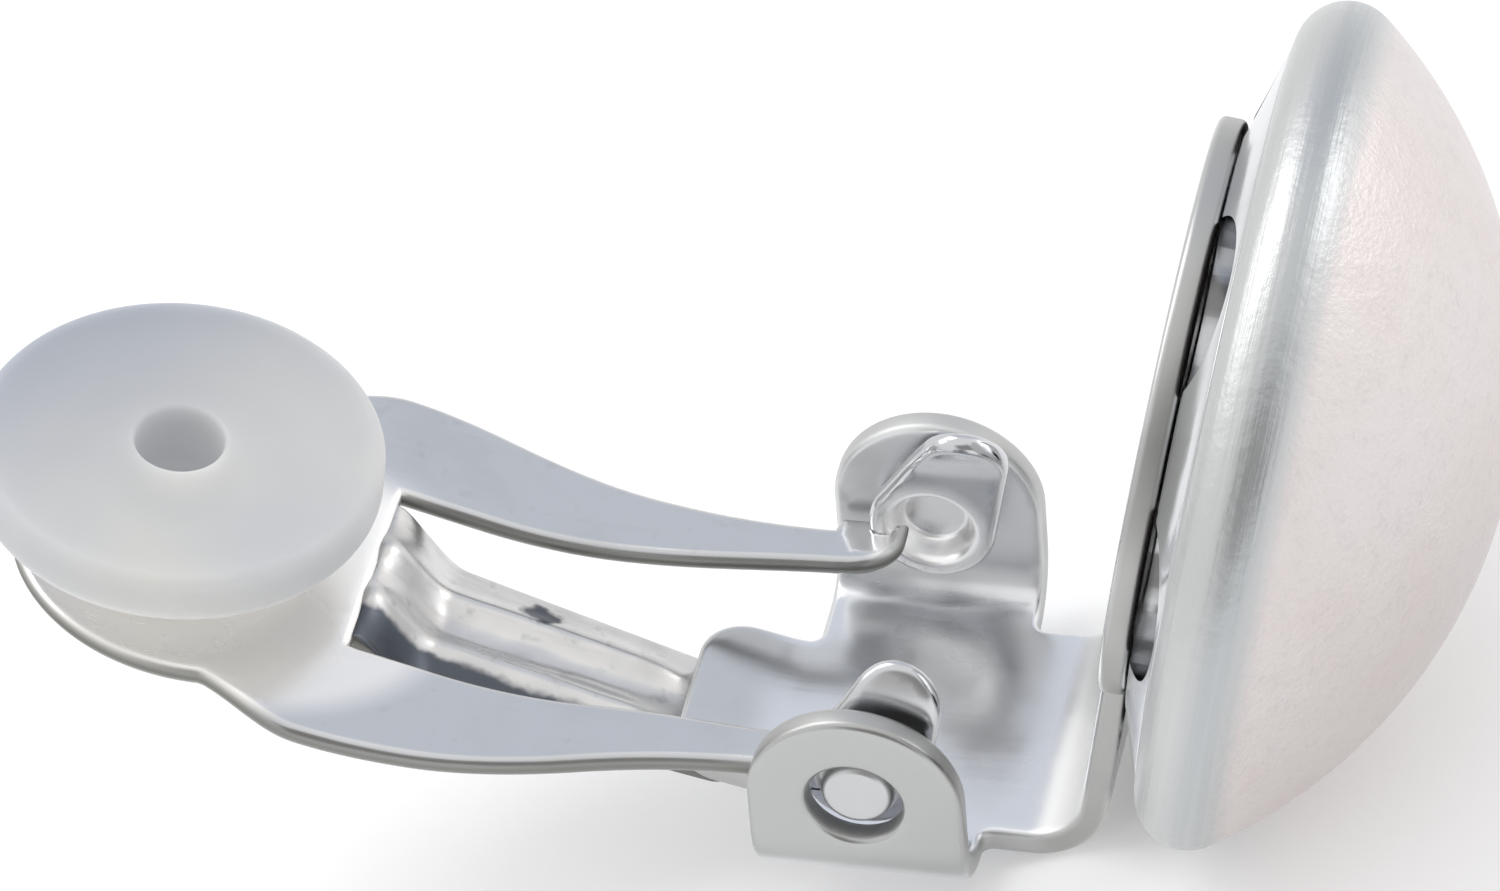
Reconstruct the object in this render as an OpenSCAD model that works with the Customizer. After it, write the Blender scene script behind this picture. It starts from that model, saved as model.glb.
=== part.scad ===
// Clip on earring: a hollow satin dome on a folded clip bracket, with a hinged
// paddle that carries a soft disc cushion and a sprung tongue.
// Millimetres. The hinge runs along Y, the dome faces +X and the earring lies
// open on a level surface at Z = 0, on the neck bend and the edge of the dome.

/* [What to draw] */
// Piece to draw

/* [Dome] */
// Diameter over the rounded rim
dome_diameter = 14.7; // [13.5:0.1:16]
// Radius of the domed front face
dome_curve_radius = 8.87; // [8.4:0.01:12]
// Radius of the rounded rim
rim_radius = 0.9; // [0.7:0.05:1]
// Wall of the front shell
shell_wall = 0.4; // [0.25:0.05:0.6]

/* [Back plate] */
// Thickness of the back plate
back_wall = 0.4; // [0.25:0.05:0.6]
// Radius of the flat seat in its middle
back_flat_radius = 5.15; // [5.05:0.05:5.4]
// Rise of the sloping border, in degrees
back_slope = 19.5; // [12:0.5:24]
// Number of vent holes
vent_count = 6; // [2:1:6]
// Diameter of a vent hole
vent_diameter = 3.2; // [1.6:0.1:3.4]
// Distance of a vent's middle in from the edge of the plate
vent_inset = 1.72; // [1.6:0.02:2.4]
// Angle of the first vent hole from the top, toward the near side
vent_first_angle = 26.5; // [0:0.5:60]

/* [Clip bracket] */
// Thickness of the bracket sheet
bracket_sheet = 0.5; // [0.4:0.05:0.6]
// Diameter of the pad behind the dome
pad_diameter = 10; // [9:0.1:10.2]
// Height of the pad's centre above the hinge
pad_height = 6.27; // [5.8:0.05:7]
// Distance of the pad's back face in front of the hinge
pad_forward = 4.87; // [4.6:0.05:5.6]
// Lean of the pad away from the paddle, in degrees
pad_lean = 9.5; // [5:0.5:12]
// Width of the neck and of the plate between the ears
plate_width = 5.2; // [4.6:0.1:5.4]
// Depth of the plate's top face below the hinge
plate_drop = 1.8; // [1.8:0.05:2.1]
// Width of the tail
tail_width = 3.6; // [3:0.1:4]
// Reach of the tail behind the hinge
tail_reach = 3.9; // [3.4:0.05:4.2]
// Upward bend of the tail, in degrees
tail_lift = 14; // [4:0.5:16]
// Corner radius of the tail
tail_corner_radius = 0.9; // [0.4:0.05:1.2]
// Inside radius of the neck bend
neck_bend_radius = 0.95; // [0.6:0.05:1.1]
// Width over both ears
bracket_width = 8.2; // [8:0.1:9]
// Width of an ear
ear_width = 3.8; // [3.2:0.1:4]
// Inside radius of the ear bend
ear_bend_radius = 0.8; // [0.7:0.05:0.85]
// Diameter of the hinge hole in an ear
hinge_hole_diameter = 1.7; // [1.6:0.05:1.8]

/* [Paddle] */
// Thickness of the paddle sheet
paddle_sheet = 0.4; // [0.35:0.05:0.5]
// Level of the arms' top face against the hinge
arm_level = -0.2; // [-0.3:0.05:-0.1]
// Distance of the head's centre behind the hinge
head_reach = 12.2; // [11.8:0.1:12.6]
// Radius of the round head
head_radius = 3.7; // [3.4:0.05:3.8]
// Largest width of the body
body_width = 8.8; // [8.2:0.1:9.2]
// Rise of the body behind the arms, as a slope
body_rise = 0.31; // [0.2:0.01:0.36]
// Rise of the head, as a slope
head_rise = 0.165; // [0.1:0.005:0.2]
// Reach of the slot behind the hinge
slot_reach = 9.4; // [9:0.05:9.8]
// Width of the slot
slot_width = 3.9; // [3.7:0.05:4.1]
// Width of an arm beside the hinge
arm_width = 0.9; // [0.8:0.05:1.1]
// Radius of a lug around the hinge
lug_radius = 1.15; // [1.1:0.05:1.2]
// Height of a lug above the hinge
lug_height = 2.35; // [1.8:0.05:2.4]
// Diameter of the hinge boss where it leaves the lug
boss_diameter = 1.54; // [1.3:0.02:1.56]
// Diameter of the hinge boss at its flat end
boss_end_diameter = 1.1; // [0.9:0.05:1.2]
// Height of the hinge boss
boss_height = 0.5; // [0.4:0.02:0.6]

/* [Spring tongue] */
// Thickness of the tongue sheet
tongue_sheet = 0.4; // [0.3:0.05:0.5]
// Width of the tongue at its root
tongue_root_width = 3.5; // [3:0.1:3.6]
// Width of the tongue at its tip
tongue_tip_width = 2.6; // [2.2:0.1:3]
// Fall of the tongue, in degrees
tongue_fall = 18.5; // [17:0.5:20]
// Reach of the tongue's tip behind the hinge
tongue_tip_reach = 2.8; // [2.4:0.05:3.2]
// Height of the pressed ribs
rib_height = 0.12; // [0.08:0.01:0.16]

/* [Comfort cushion] */
// Diameter of the cushion's disc
cushion_diameter = 7.3; // [6.8:0.1:7.6]
// Thickness of the cushion's disc
cushion_disc = 1.05; // [0.8:0.05:1.2]
// Height of the cushion over the paddle
cushion_height = 1.9; // [1.7:0.05:2.1]
// Diameter of the foot under the disc
foot_diameter = 5.2; // [4.8:0.1:5.8]
// Diameter of the hole in the middle
cushion_hole_diameter = 1.6; // [1.2:0.1:2]
// Depth of the hole
cushion_hole_depth = 1.35; // [0.8:0.05:1.5]
// Edge radius of the cushion's disc
cushion_edge = 0.25; // [0.1:0.05:0.35]

/* [Hidden] */
$fn = 96;
// clearance of glued and pressed seats
seat_gap = 0.03;
// side clearance between a lug and its ear
lug_clearance = 0.22;
// clearance between the paddle and the root of the tongue
tongue_gap = 0.04;

dome_radius = dome_diameter / 2;
pad_radius = pad_diameter / 2;
back_face_at = bracket_sheet + seat_gap;
lip_radius = dome_radius - rim_radius;
lip_at = back_face_at + (lip_radius - back_flat_radius) * tan(back_slope);
rim_centre_at = lip_at + rim_radius;
dome_centre_at = rim_centre_at - sqrt(pow(dome_curve_radius - rim_radius, 2) - pow(lip_radius, 2));
rim_join_angle = asin(lip_radius / (dome_curve_radius - rim_radius));

plate_top = -plate_drop;
plate_half = plate_width / 2;
neck_bend_z = plate_top + neck_bend_radius;
neck_bend_x = pad_forward
    + (-neck_bend_radius + (neck_bend_z - pad_height) * sin(pad_lean)) / cos(pad_lean);
neck_length = (pad_height - neck_bend_z + neck_bend_radius * sin(pad_lean)) / cos(pad_lean);

tail_half = tail_width / 2;
tail_bend_at = ear_width / 2 + 0.1;
tail_bend_radius = 1.5;
tail_length = tail_reach - tail_bend_at - tail_bend_radius * sin(tail_lift);
tail_end_low = plate_top - bracket_sheet * cos(tail_lift)
    + tail_bend_radius * (1 - cos(tail_lift)) + tail_length * sin(tail_lift);

ear_outer = bracket_width / 2;
ear_inner = ear_outer - bracket_sheet;
// step between the ear and the wider plate in front of it
notch_width = 0.3;
ear_bend_y = ear_inner - ear_bend_radius;
ear_bend_z = plate_top + ear_bend_radius;

lug_outer = ear_inner - lug_clearance;
lug_inner = lug_outer - paddle_sheet;
lug_end_radius = 0.8;
lug_end_x = 0.65;
lug_end_z = lug_height - lug_end_radius;

// angle that lays the earring on its neck bend and the rim of the dome
rim_low_x = pad_forward + rim_centre_at * cos(pad_lean) - lip_radius * sin(pad_lean);
rim_low_z = pad_height - rim_centre_at * sin(pad_lean) - lip_radius * cos(pad_lean);
neck_outer_radius = neck_bend_radius + bracket_sheet;
rest_span = norm([rim_low_x - neck_bend_x, rim_low_z - neck_bend_z]);
rest_tilt = atan2(rim_low_z - neck_bend_z, rim_low_x - neck_bend_x)
    + asin((neck_outer_radius - rim_radius) / rest_span);
rest_height = neck_outer_radius - (neck_bend_z * cos(rest_tilt) - neck_bend_x * sin(rest_tilt));

// side line of the paddle: level arms, a rising body and a flatter head
rise_start = 5.2;
rise_full = 8.0;
head_start = 10.3;
head_full = 11.8;
function ramp(u, a, b) = u <= a ? 0 : u >= b ? (b - a) / 2 + (u - b) : pow(u - a, 2) / (2 * (b - a));
function paddle_z(u) = arm_level + body_rise * ramp(u, rise_start, rise_full)
    - (body_rise - head_rise) * ramp(u, head_start, head_full);

// line of the tongue's top face: a jog down at the root and a straight fall
tongue_under_tail = tail_end_low - 0.14;
jog_start = slot_reach + tongue_gap;
jog_length = 1.0;
function ease(t) = t <= 0 ? 0 : t >= 1 ? 1 : t * t * (3 - 2 * t);
function tongue_line(u) = tongue_under_tail + (u - tail_reach) * tan(tongue_fall);
jog_height = paddle_z(jog_start) - tongue_line(jog_start);
function tongue_z(u) = tongue_line(u) + jog_height * (1 - ease((jog_start - u) / jog_length));

// points of a line of sheet metal: its top face and the face one thickness below
function line_normal(p, i) = let (
    a = p[max(i - 1, 0)],
    b = p[min(i + 1, len(p) - 1)],
    d = (b - a) / norm(b - a)
) [d[1], -d[0]];
function offset_line(p, t) = [for (i = [0 : len(p) - 1]) p[i] + t * line_normal(p, i)];
function arc(c, r, a0, a1, n) = [for (i = [0 : n]) let (a = a0 + (a1 - a0) * i / n) c + r * [cos(a), sin(a)]];
function reversed(p) = [for (i = [len(p) - 1 : -1 : 0]) p[i]];
function sheet_outline(p, above, below) =
    concat(offset_line(p, -above), reversed(offset_line(p, below)));

// half outline of the paddle's body: a waist by the hinge and a broad shoulder
body_peak = 9.8;
body_end = 12.2;
arm_setback = 0.3;
arm_half = lug_outer - arm_setback;
arm_end = 1.7;
function body_half(u) = u < body_peak
    ? arm_half + (body_width / 2 - arm_half) * pow(ease((u - 1.6) / (body_peak - 1.6)), 1.35)
    : head_radius - 0.15 + (body_width / 2 - head_radius + 0.15) * ease((body_end - u) / (body_end - body_peak));
function slot_half(u) = u > 5
    ? slot_width / 2
    : slot_width / 2 + (arm_half - arm_width - slot_width / 2) * ease((5 - u) / 4);

// place of the cushion on the head
seat_past_head = 0.85;
seat_reach = head_reach + seat_past_head;
cushion_tilt = atan(head_rise);
cushion_low = cushion_height - cushion_disc;

// shift that puts the middle of the open earring's length over the origin
dome_centre_x = pad_forward + dome_centre_at * cos(pad_lean);
dome_centre_z = pad_height - dome_centre_at * sin(pad_lean);
front_reach = dome_centre_x * cos(rest_tilt) + dome_centre_z * sin(rest_tilt) + dome_curve_radius;
back_reach = seat_reach * cos(rest_tilt) - paddle_z(seat_reach) * sin(rest_tilt)
    + cushion_diameter / 2 * cos(rest_tilt + cushion_tilt)
    - (cushion_low + cushion_edge) * sin(rest_tilt + cushion_tilt);
rest_shift = (back_reach - front_reach) / 2;

// at_pad carries a shape drawn around Z to the axis of the dome
module at_pad() {
    translate([pad_forward, 0, pad_height])
        rotate([0, 90 + pad_lean, 0])
            children();
}

// upright turns a flat drawing of X and Z into a slab between two Y values
module upright(y0, y1) {
    translate([0, y1, 0])
        rotate([90, 0, 0])
            linear_extrude(height = y1 - y0)
                children();
}

// at_rest lays the open earring on the surface
module at_rest() {
    translate([rest_shift, 0, rest_height])
        rotate([0, rest_tilt, 0])
            children();
}

module shell_profile() {
    outer = concat(
        [for (i = [0 : 36]) let (a = rim_join_angle * i / 36)
            [dome_curve_radius * sin(a), dome_centre_at + dome_curve_radius * cos(a)]],
        [for (i = [1 : 20]) let (a = rim_join_angle + (180 - rim_join_angle) * i / 20)
            [lip_radius + rim_radius * sin(a), rim_centre_at + rim_radius * cos(a)]]
    );
    inner_rim = rim_radius - shell_wall;
    inner_curve = dome_curve_radius - shell_wall;
    inner = concat(
        [for (i = [20 : -1 : 1]) let (a = rim_join_angle + (180 - rim_join_angle) * i / 20)
            [lip_radius + inner_rim * sin(a), rim_centre_at + inner_rim * cos(a)]],
        [for (i = [36 : -1 : 0]) let (a = rim_join_angle * i / 36)
            [inner_curve * sin(a), dome_centre_at + inner_curve * cos(a)]]
    );
    polygon(concat(outer, inner));
}

module dome_shell() {
    color([0.86, 0.85, 0.84])
        at_rest()
            at_pad()
                rotate_extrude()
                    shell_profile();
}

module back_plate() {
    edge = lip_radius - seat_gap;
    rise = (edge - back_flat_radius) * tan(back_slope);
    color([0.8, 0.81, 0.82])
        at_rest()
            at_pad()
                difference() {
                    rotate_extrude()
                        polygon([
                            [0, back_face_at],
                            [back_flat_radius, back_face_at],
                            [edge, back_face_at + rise],
                            [edge, back_face_at + rise + back_wall],
                            [back_flat_radius, back_face_at + back_wall],
                            [0, back_face_at + back_wall]
                        ]);
                    for (i = [0 : vent_count - 1])
                        rotate([0, 0, 180 + vent_first_angle + i * 360 / vent_count])
                            translate([edge - vent_inset, 0, 0])
                                cylinder(d = vent_diameter, h = 3);
                }
}

// side view of the plate, the bend and the neck
module neck_side() {
    plate_start = -ear_width / 2 + notch_width;
    bend = [neck_bend_x, neck_bend_z];
    up = [sin(pad_lean), cos(pad_lean)];
    front = [cos(pad_lean), -sin(pad_lean)];
    reach = neck_length - pad_radius + 1;
    polygon(concat(
        [[plate_start, plate_top], [plate_start, plate_top - bracket_sheet]],
        arc(bend, neck_outer_radius, -90, -pad_lean, 20),
        [bend + neck_outer_radius * front + reach * up, bend + neck_bend_radius * front + reach * up],
        arc(bend, neck_bend_radius, -pad_lean, -90, 20)
    ));
}

// side view of the tail, from inside the plate to its lifted end
module tail_side() {
    bend = [-tail_bend_at, plate_top + tail_bend_radius];
    back = [-cos(tail_lift), sin(tail_lift)];
    under = [-sin(tail_lift), -cos(tail_lift)];
    polygon(concat(
        [[0, plate_top - bracket_sheet], [0, plate_top]],
        arc(bend, tail_bend_radius, -90, -90 - tail_lift, 8),
        [bend + tail_bend_radius * under + tail_length * back,
         bend + (tail_bend_radius + bracket_sheet) * under + tail_length * back],
        arc(bend, tail_bend_radius + bracket_sheet, -90 - tail_lift, -90, 8)
    ));
}

module pad_and_neck() {
    at_pad()
        rotate([0, 0, 180])
            cylinder(r = pad_radius, h = bracket_sheet);
    upright(-plate_half, plate_half)
        neck_side();
}

module tail() {
    intersection() {
        upright(-tail_half, tail_half)
            tail_side();
        translate([0, 0, -plate_drop - 1])
            linear_extrude(height = plate_drop + 1)
                difference() {
                    translate([-tail_reach, -plate_half])
                        square([tail_reach + 1, plate_width]);
                    for (s = [-1, 1])
                        translate([-tail_reach, s * tail_half])
                            difference() {
                                square(2 * tail_corner_radius, center = true);
                                translate([tail_corner_radius, -s * tail_corner_radius])
                                    circle(r = tail_corner_radius);
                            }
                }
    }
}

module ear() {
    difference() {
        union() {
            translate([-ear_width / 2, 0, plate_top - bracket_sheet])
                cube([ear_width, ear_bend_y, bracket_sheet]);
            translate([-ear_width / 2, ear_bend_y, ear_bend_z])
                rotate([0, 90, 0])
                    rotate_extrude(angle = 90)
                        translate([ear_bend_radius, 0])
                            square([bracket_sheet, ear_width]);
            upright(ear_inner, ear_outer) {
                intersection() {
                    circle(d = ear_width);
                    translate([-ear_width, ear_bend_z / 2])
                        square(2 * ear_width);
                }
                translate([-ear_width / 2, ear_bend_z])
                    square([ear_width, -ear_bend_z]);
            }
        }
        upright(ear_inner - 1, ear_outer + 1)
            circle(d = hinge_hole_diameter);
    }
}

module clip_bracket() {
    color([0.78, 0.79, 0.81])
        at_rest() {
            pad_and_neck();
            tail();
            ear();
            mirror([0, 1, 0])
                ear();
        }
}

module paddle_plan() {
    step = 0.2;
    us = [for (u = [1.2 : step : body_end]) u];
    inner = [for (u = [1.2 : step : slot_reach + 0.001]) u];
    difference() {
        union() {
            polygon(concat(
                [for (u = us) [-u, body_half(u)]],
                [for (u = reversed(us)) [-u, -body_half(u)]]
            ));
            translate([-head_reach, 0])
                circle(r = head_radius);
        }
        polygon(concat(
            [[0, slot_half(1.2)]],
            [for (u = inner) [-u, slot_half(u)]],
            [for (u = reversed(inner)) [-u, -slot_half(u)]],
            [[0, -slot_half(1.2)]]
        ));
    }
}

module paddle_blank() {
    side = [for (u = [head_reach + head_radius + 0.5 : -0.3 : 1.0]) [-u, paddle_z(u)]];
    intersection() {
        upright(-6, 6)
            polygon(sheet_outline(side, 0, paddle_sheet));
        translate([0, 0, -5])
            linear_extrude(height = 10)
                paddle_plan();
    }
}

module lug_profile() {
    d = [lug_end_x, lug_end_z];
    turn = atan2(d[1], d[0]);
    open = acos((lug_radius - lug_end_radius) / norm(d));
    circle(r = lug_radius);
    translate(d)
        circle(r = lug_end_radius);
    polygon([
        lug_radius * [cos(turn - open), sin(turn - open)],
        d + lug_end_radius * [cos(turn - open), sin(turn - open)],
        d + lug_end_radius * [cos(turn + open), sin(turn + open)],
        lug_radius * [cos(turn + open), sin(turn + open)]
    ]);
    translate([-arm_end, arm_level - paddle_sheet])
        square([arm_end, paddle_sheet + 0.4]);
}

module lug() {
    difference() {
        union() {
            upright(lug_inner, lug_outer)
                lug_profile();
            translate([0, lug_outer - 0.01, 0])
                rotate([-90, 0, 0])
                    cylinder(d1 = boss_diameter, d2 = boss_end_diameter, h = boss_height + 0.01);
            translate([-arm_end, arm_half - arm_width, arm_level - paddle_sheet])
                cube([arm_end - 0.6, arm_width + arm_setback, paddle_sheet]);
        }
        translate([0, lug_inner - 0.01, 0])
            rotate([-90, 0, 0])
                cylinder(d1 = boss_diameter - 0.1, d2 = boss_end_diameter - 0.2, h = boss_height - 0.02);
    }
}

module paddle() {
    color([0.82, 0.83, 0.85])
        at_rest() {
            paddle_blank();
            lug();
            mirror([0, 1, 0])
                lug();
        }
}

module tongue_slab(above, below, y0, y1) {
    side = [for (i = [0 : 48])
        let (u = jog_start - (jog_start - tongue_tip_reach) * pow(i / 48, 1.4))
        [-u, tongue_z(u)]];
    upright(y0, y1)
        polygon(sheet_outline(side, above, below));
}

module spring_tongue() {
    root = tongue_root_width / 2;
    tip = tongue_tip_width / 2;
    color([0.88, 0.88, 0.88])
        at_rest()
            intersection() {
                union() {
                    tongue_slab(0, tongue_sheet, -3, 3);
                    for (s = [-1, 1])
                        tongue_slab(rib_height, 0.1, s * 0.75 - 0.2, s * 0.75 + 0.2);
                }
                translate([0, 0, -6])
                    linear_extrude(height = 12)
                        polygon([
                            [-slot_reach + tongue_gap, root],
                            [-tongue_tip_reach - 0.5, tip],
                            [-tongue_tip_reach, tip - 0.5],
                            [-tongue_tip_reach, -tip + 0.5],
                            [-tongue_tip_reach - 0.5, -tip],
                            [-slot_reach + tongue_gap, -root]
                        ]);
            }
}

module comfort_cushion() {
    r = cushion_diameter / 2;
    hole_floor = cushion_height - cushion_hole_depth;
    color([0.95, 0.95, 0.94])
        at_rest()
            translate([-seat_reach, 0, paddle_z(seat_reach)])
                rotate([0, cushion_tilt, 0])
                    rotate_extrude()
                        polygon(concat(
                            [[0, hole_floor], [0, seat_gap], [foot_diameter / 2, seat_gap],
                             [foot_diameter / 2, cushion_low], [r - cushion_edge, cushion_low]],
                            [for (a = [-90 : 15 : 0])
                                [r - cushion_edge + cushion_edge * cos(a),
                                 cushion_low + cushion_edge + cushion_edge * sin(a)]],
                            [for (a = [0 : 15 : 90])
                                [r - cushion_edge + cushion_edge * cos(a),
                                 cushion_height - cushion_edge + cushion_edge * sin(a)]],
                            [[cushion_hole_diameter / 2, cushion_height],
                             [cushion_hole_diameter / 2, hole_floor]]
                        ));
}

dome_shell();
back_plate();
clip_bracket();
paddle();
spring_tongue();
comfort_cushion();
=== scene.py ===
"""Dresses the open clip on earring: folded sheet metal, a hollow satin dome and a soft cushion."""
import logging
import math
from dataclasses import dataclass, field
from enum import Enum
from typing import Callable, Sequence, Union

import bmesh
import bpy
import numpy as np
from mathutils import Matrix, Vector
from mathutils.geometry import convex_hull_2d, delaunay_2d_cdt


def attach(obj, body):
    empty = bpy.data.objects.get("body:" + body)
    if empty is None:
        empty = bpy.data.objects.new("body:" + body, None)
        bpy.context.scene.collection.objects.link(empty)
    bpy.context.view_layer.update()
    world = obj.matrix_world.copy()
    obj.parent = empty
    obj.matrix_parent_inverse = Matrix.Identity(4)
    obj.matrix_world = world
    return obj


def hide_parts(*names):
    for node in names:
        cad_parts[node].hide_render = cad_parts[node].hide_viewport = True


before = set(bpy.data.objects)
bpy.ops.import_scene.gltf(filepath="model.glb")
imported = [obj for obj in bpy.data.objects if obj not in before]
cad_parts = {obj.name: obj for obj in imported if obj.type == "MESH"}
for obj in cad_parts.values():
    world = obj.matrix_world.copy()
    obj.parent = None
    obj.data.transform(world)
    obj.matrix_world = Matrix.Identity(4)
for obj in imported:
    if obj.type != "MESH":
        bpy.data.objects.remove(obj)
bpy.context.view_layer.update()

MM = 0.001
PER_M = 1000.0
SEAM_MM = 0.002
VENT_STEPS = 72
LOG = logging.getLogger("earring")

Field = tuple[np.ndarray, np.ndarray]
Fold = Callable[[np.ndarray, np.ndarray], Field]
Colour = tuple[float, float, float, float]


class Body(Enum):
    """The two rigid bodies of the clip."""

    FRONT = "dome_and_bracket"
    PADDLE = "paddle_and_cushion"


class Slot(Enum):
    """The material slots of the part."""

    DOME = "satin_dome"
    METAL = "polished_metal"
    CUSHION = "silicone"


class Val:
    """One number in a node tree, with Python's operators as Math nodes."""

    def __init__(self, bench: "Bench", socket: bpy.types.NodeSocket) -> None:
        """Wraps an output socket.

        Args:
            bench: The bench that adds nodes to the tree.
            socket: The output socket that carries the number.
        """
        self.bench = bench
        self.socket = socket

    def _math(self, operation: str, *terms: Union["Val", float]) -> "Val":
        """Adds one Math node.

        Args:
            operation: The node's operation.
            *terms: Its inputs in order.

        Returns:
            The node's result.
        """
        made = self.bench.node("ShaderNodeMath", {"operation": operation}, dict(enumerate(terms)))
        return Val(self.bench, made.outputs[0])

    def __add__(self, other: Union["Val", float]) -> "Val":
        """Returns self + other."""
        return self._math("ADD", self, other)

    def __radd__(self, other: float) -> "Val":
        """Returns other + self."""
        return self._math("ADD", other, self)

    def __sub__(self, other: Union["Val", float]) -> "Val":
        """Returns self - other."""
        return self._math("SUBTRACT", self, other)

    def __rsub__(self, other: float) -> "Val":
        """Returns other - self."""
        return self._math("SUBTRACT", other, self)

    def __mul__(self, other: Union["Val", float]) -> "Val":
        """Returns self * other."""
        return self._math("MULTIPLY", self, other)

    def __rmul__(self, other: float) -> "Val":
        """Returns other * self."""
        return self._math("MULTIPLY", other, self)

    def __truediv__(self, other: Union["Val", float]) -> "Val":
        """Returns self / other."""
        return self._math("DIVIDE", self, other)

    def __pow__(self, other: float) -> "Val":
        """Returns self to the power other."""
        return self._math("POWER", self, other)

    def sine(self) -> "Val":
        """Returns the sine of self."""
        return self._math("SINE", self)

    def cosine(self) -> "Val":
        """Returns the cosine of self."""
        return self._math("COSINE", self)

    def angle_to(self, other: "Val") -> "Val":
        """Returns the angle of the point (other, self) around the origin."""
        return self._math("ARCTAN2", self, other)

    def ease(self, low: float, high: float) -> "Val":
        """Runs smoothly from 0 to 1.

        Args:
            low: Where the result is 0.
            high: Where the result is 1.

        Returns:
            The eased number.
        """
        made = self.bench.node(
            "ShaderNodeMapRange",
            {"interpolation_type": "SMOOTHSTEP"},
            {"Value": self, "From Min": low, "From Max": high},
        )
        return Val(self.bench, made.outputs["Result"])


class Bench:
    """Adds nodes to one tree, of any kind."""

    def __init__(self, tree: bpy.types.NodeTree) -> None:
        """Takes the tree that the nodes go into."""
        self.tree = tree

    def feed(self, socket: bpy.types.NodeSocket, value: object) -> None:
        """Links a socket, or sets its value.

        Args:
            socket: The input socket.
            value: A Val, an output socket, or a plain value.
        """
        if isinstance(value, Val):
            self.tree.links.new(value.socket, socket)
        elif isinstance(value, bpy.types.NodeSocket):
            self.tree.links.new(value, socket)
        else:
            socket.default_value = value

    def node(
        self,
        kind: str,
        settings: dict[str, object] | None = None,
        inputs: dict[int | str, object] | None = None,
    ) -> bpy.types.Node:
        """Adds one node.

        Args:
            kind: The node's type.
            settings: Its own settings, such as a Math node's operation, which are set first.
            inputs: Values or links of its sockets, by name or number.

        Returns:
            The new node.
        """
        made = self.tree.nodes.new(kind)
        for key, value in (settings or {}).items():
            setattr(made, key, value)
        for key, value in (inputs or {}).items():
            self.feed(made.inputs[key], value)
        return made

    def noise(self, vector: object, scale: float, detail: float = 2.0, rough: float = 0.5) -> Val:
        """Adds a noise.

        Args:
            vector: The place that it reads.
            scale: Waves per unit.
            detail: How many finer layers it has.
            rough: How strong the finer layers are.

        Returns:
            The noise, about 0.5 on average.
        """
        made = self.node(
            "ShaderNodeTexNoise",
            {},
            {"Vector": vector, "Scale": scale, "Detail": detail, "Roughness": rough},
        )
        return Val(self, made.outputs[0])

    def blend(self, share: Val, first: object, second: object) -> bpy.types.NodeSocket:
        """Mixes two colours.

        Args:
            share: The share of the second.
            first: A colour or a link.
            second: A colour or a link.

        Returns:
            The mixed colour.
        """
        made = self.node("ShaderNodeMix", {"data_type": "RGBA"}, {0: share, 6: first, 7: second})
        return made.outputs[2]

    def dot(self, vector: object, axis: Union[Sequence[float], bpy.types.NodeSocket]) -> Val:
        """Measures a place along an axis.

        Args:
            vector: The place.
            axis: The axis, fixed or linked.

        Returns:
            The distance along it.
        """
        aim = axis if isinstance(axis, bpy.types.NodeSocket) else tuple(axis)
        made = self.node("ShaderNodeVectorMath", {"operation": "DOT_PRODUCT"}, {0: vector, 1: aim})
        return Val(self, made.outputs["Value"])

    def minus(self, vector: object, point: Sequence[float]) -> bpy.types.NodeSocket:
        """Returns a place as seen from a fixed point."""
        ends = {0: vector, 1: tuple(point)}
        return self.node("ShaderNodeVectorMath", {"operation": "SUBTRACT"}, ends).outputs[0]

    def vector(self, x: object, y: object, z: object) -> bpy.types.NodeSocket:
        """Joins three numbers into a vector.

        Args:
            x: The first number.
            y: The second number.
            z: The third number.

        Returns:
            The vector.
        """
        return self.node("ShaderNodeCombineXYZ", {}, {0: x, 1: y, 2: z}).outputs[0]


@dataclass(frozen=True)
class RestPose:
    """Where the clip's own frame, with the hinge at its origin, lies on the surface. In mm."""

    tilt_deg: float = 19.1994
    height: float = 3.14567
    shift: float = 0.712341

    def matrix(self) -> Matrix:
        """Returns the map from the clip's frame in mm to the part's frame in metres."""
        place = Matrix.Translation((self.shift * MM, 0.0, self.height * MM))
        return place @ Matrix.Rotation(math.radians(self.tilt_deg), 4, "Y") @ Matrix.Scale(MM, 4)


@dataclass(frozen=True)
class PadPose:
    """Where the pad's own axis lies in the clip's frame. In mm."""

    forward: float = 4.87
    height: float = 6.27
    lean_deg: float = 9.5

    def matrix(self) -> Matrix:
        """Returns the map from the pad's frame, with Z along the dome's axis, to the clip's frame."""
        turn = Matrix.Rotation(math.radians(90.0 + self.lean_deg), 4, "Y")
        return Matrix.Translation((self.forward, 0.0, self.height)) @ turn


REST = RestPose()
PAD = PadPose()
PAD_TO_PART = REST.matrix() @ PAD.matrix()


def dome_frame() -> tuple[Vector, Vector, Vector, Vector]:
    """Returns the pad's centre, the dome's axis and two axes across it, in the part's frame."""
    turn = PAD_TO_PART.to_3x3().normalized()
    return PAD_TO_PART.translation, turn.col[2].copy(), turn.col[0].copy(), turn.col[1].copy()


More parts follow.
